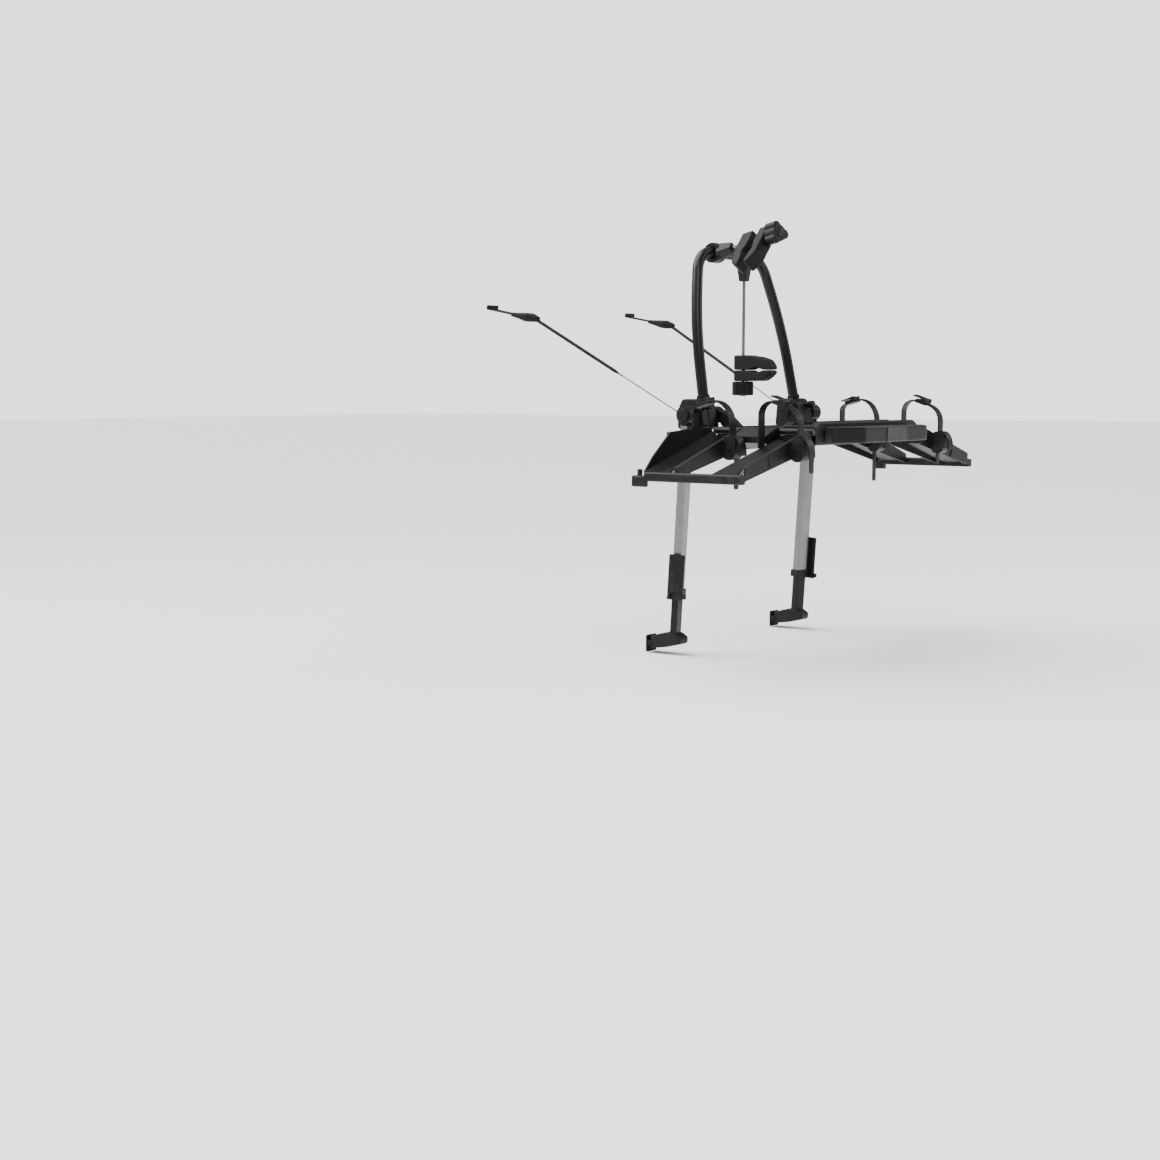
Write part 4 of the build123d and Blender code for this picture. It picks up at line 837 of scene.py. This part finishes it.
class RACK_OT_holders(bpy.types.Operator):
    """Finish the frame holders: clamps, rods, rubber jaws and torque knobs"""

    bl_idname = "rack.holders"
    bl_label = "Finish Frame Holders"

    ridge_pitch: bpy.props.FloatProperty(
        name="Ridge Pitch", description="Distance between the grip ridges in the jaws", default=4.4 * MM,
        subtype="DISTANCE")

    def holder_frame(self, number):
        """Matrix at a holder's pivot: X along its jaws and Z along its arm."""
        base = TOP_TUBE + Vector((HOLDER_X[number], 0, 0))
        if number == 1:
            side, rise, roll = radians(12.7), radians(8.8), radians(50)
            arm = Vector((-sin(side) * cos(rise), -cos(side) * cos(rise), sin(rise)))
            return frame_at(base, arm, (-cos(roll), 0, -sin(roll)))
        return frame_at(base, (0, 0, -1), (0, -1, 0))

    def execute(self, context):
        size = sizes()
        for number, reach in JAW_REACH.items():
            opening = JAW_OPENING[number]
            soft_node(f"holder_clamp_{number}", "plastic", size.fine_skin, 50)
            finish_node(f"holder_rod_{number}", 0.3 * MM, "steel", 2)
            soft_node(f"fixed_jaw_{number}", "rubber", size.skin, 90)
            soft_node(f"moving_jaw_{number}", "rubber", size.skin, 90)
            soft_node(f"holder_knob_{number}", "plastic", size.fine_skin, 90)
            place = self.holder_frame(number)
            arm = place.to_3x3() @ Vector((0, 0, 1))
            faces = (("fixed_jaw", 1, reach - 6 * MM), ("moving_jaw", -1, reach + opening + 6 * MM))
            for jaw, way, start in faces:
                inner = surface(f"{jaw}_{number}")
                ridges = bmesh.new()
                for step in range(9):
                    height = start + way * 4 * MM + (opening / 2 + 2 * MM) * way
                    spot = place @ Vector((30 * MM + step * self.ridge_pitch, 0, height))
                    found = seat(inner, spot, -arm * way)
                    if found and (found[0] - spot).length < 0.03:
                        add_block(ridges, (1.6 * MM, 28 * MM, 1.0 * MM),
                                  frame_at(found[0], found[1], place.to_3x3() @ Vector((1, 0, 0))), 0.35 * MM)
                body = f"holder_{number}" if jaw == "fixed_jaw" else f"jaw_{number}"
                put(ridges, f"{jaw}_ridges_{number}", body, "rubber")
            knob_end = reach + JAW_GAP + opening + MOVING_JAW_THICK + KNOB_GAP + KNOB_LENGTH
            plate = bmesh.new()
            for end in (-1, 1):
                add_disc(plate, 4.4 * MM, 1.0 * MM,
                         place @ Matrix.Translation((end * 4 * MM, 0, knob_end + 1.6 * MM)), 0.3 * MM)
            add_block(plate, (8 * MM, 8.8 * MM, 1.0 * MM),
                      place @ Matrix.Translation((0, 0, knob_end + 1.6 * MM)), 0.3 * MM)
            put(plate, f"knob_plate_{number}", f"knob_{number}", "plate")
        return {"FINISHED"}


class RACK_OT_stage(bpy.types.Operator):
    """Set up the pale floor, the soft studio light and the camera"""

    bl_idname = "rack.stage"
    bl_label = "Set Up Stage"

    floor_drop: bpy.props.FloatProperty(
        name="Floor Drop", description="How far the floor lies below the feet",
        default=2.0 * MM, subtype="DISTANCE")
    lens: bpy.props.FloatProperty(name="Lens", description="Focal length in millimetres", default=52.27)
    glow: bpy.props.FloatProperty(name="Glow", description="Light that the studio's walls give", default=0.4)
    wall: bpy.props.FloatProperty(name="Wall", description="How bright the studio's walls look", default=2.2)
    sky: bpy.props.FloatProperty(
        name="Sky", description="Strength of the wide soft light from above",
        default=6.0)

    def light(self, name, place, target, size, power):
        data = bpy.data.lights.new(name, "AREA")
        data.shape = "DISK"
        data.size = size
        data.energy = power
        made = bpy.data.objects.new(name, data)
        bpy.context.scene.collection.objects.link(made)
        made.location = place
        made.rotation_euler = (Vector(target) - Vector(place)).to_track_quat("-Z", "Y").to_euler()

    def execute(self, context):
        low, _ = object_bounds()
        shape = bmesh.new()
        bmesh.ops.create_grid(shape, x_segments=1, y_segments=1, size=30.0,
                              matrix=Matrix.Translation((0, 0, low.z - self.floor_drop)))
        mesh = bpy.data.meshes.new("studio_floor")
        shape.to_mesh(mesh)
        shape.free()
        mesh.materials.append(finishes["floor"])
        floor = bpy.data.objects.new("studio_floor", mesh)
        context.scene.collection.objects.link(floor)
        floor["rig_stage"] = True
        world = bpy.data.worlds.new("Pale studio")
        world.use_nodes = True
        tree = world.node_tree
        glow = tree.nodes["Background"]
        glow.inputs["Color"].default_value = (1.0, 1.0, 1.0, 1.0)
        glow.inputs["Strength"].default_value = self.glow
        wall = tree.nodes.new("ShaderNodeBackground")
        wall.inputs["Color"].default_value = (1.0, 1.0, 1.0, 1.0)
        wall.inputs["Strength"].default_value = self.wall
        seen = tree.nodes.new("ShaderNodeMixShader")
        tree.links.new(tree.nodes.new("ShaderNodeLightPath").outputs["Is Camera Ray"], seen.inputs[0])
        tree.links.new(glow.outputs[0], seen.inputs[1])
        tree.links.new(wall.outputs[0], seen.inputs[2])
        tree.links.new(seen.outputs[0], tree.nodes["World Output"].inputs["Surface"])
        context.scene.world = world
        sky = bpy.data.lights.new("sky_light", "SUN")
        sky.energy = self.sky
        sky.angle = radians(70)
        above = bpy.data.objects.new("sky_light", sky)
        above.rotation_euler = (radians(-28), radians(-14), 0)
        context.scene.collection.objects.link(above)
        self.light("key_light", (-2.2, -2.6, 3.2), (0, 0, 0), 2.6, 90.0)
        self.light("fill_light", (2.8, -2.2, 1.8), (0, 0, 0), 2.2, 40.0)
        self.light("rim_light", (-1.6, 2.6, 2.4), (0, 0, 0), 2.0, 50.0)
        data = bpy.data.cameras.new("photo_camera")
        data.sensor_width = 36.0
        data.lens = self.lens
        camera = bpy.data.objects.new("photo_camera", data)
        context.scene.collection.objects.link(camera)
        camera.location = (-3.6283, -2.3152, 0.0601)
        camera.rotation_euler = (radians(83.551), 0, radians(-51.642))
        context.scene.camera = camera
        return {"FINISHED"}


STEPS = ("finishes", "arch", "hubs", "cables", "legs", "platform", "wings", "straps", "holders", "stage")


class RACK_PT_panel(bpy.types.Panel):
    """Lists the steps that finish the rack"""

    bl_idname = "RACK_PT_panel"
    bl_label = "Bicycle Rack"
    bl_space_type = "VIEW_3D"
    bl_region_type = "UI"
    bl_category = "Rack"

    def draw(self, context):
        column = self.layout.column()
        for group in (context.scene.rack_sizes, context.scene.rack_colours):
            for name in group.bl_rna.properties.keys():
                if name not in ("rna_type", "name"):
                    column.prop(group, name)
        for step in STEPS:
            column.operator(f"rack.{step}")


CLASSES = (
    RackSizes, RackColours, RACK_OT_finishes, RACK_OT_arch, RACK_OT_hubs, RACK_OT_cables, RACK_OT_legs,
    RACK_OT_platform, RACK_OT_wings, RACK_OT_straps, RACK_OT_holders, RACK_OT_stage, RACK_PT_panel,
)


def register():
    for cls in CLASSES:
        bpy.utils.register_class(cls)
    bpy.types.Scene.rack_sizes = bpy.props.PointerProperty(type=RackSizes)
    bpy.types.Scene.rack_colours = bpy.props.PointerProperty(type=RackColours)


def unregister():
    del bpy.types.Scene.rack_colours
    del bpy.types.Scene.rack_sizes
    for cls in reversed(CLASSES):
        bpy.utils.unregister_class(cls)


def main():
    register()
    for step in STEPS:
        getattr(bpy.ops.rack, step)()


if __name__ == "__main__":
    main()
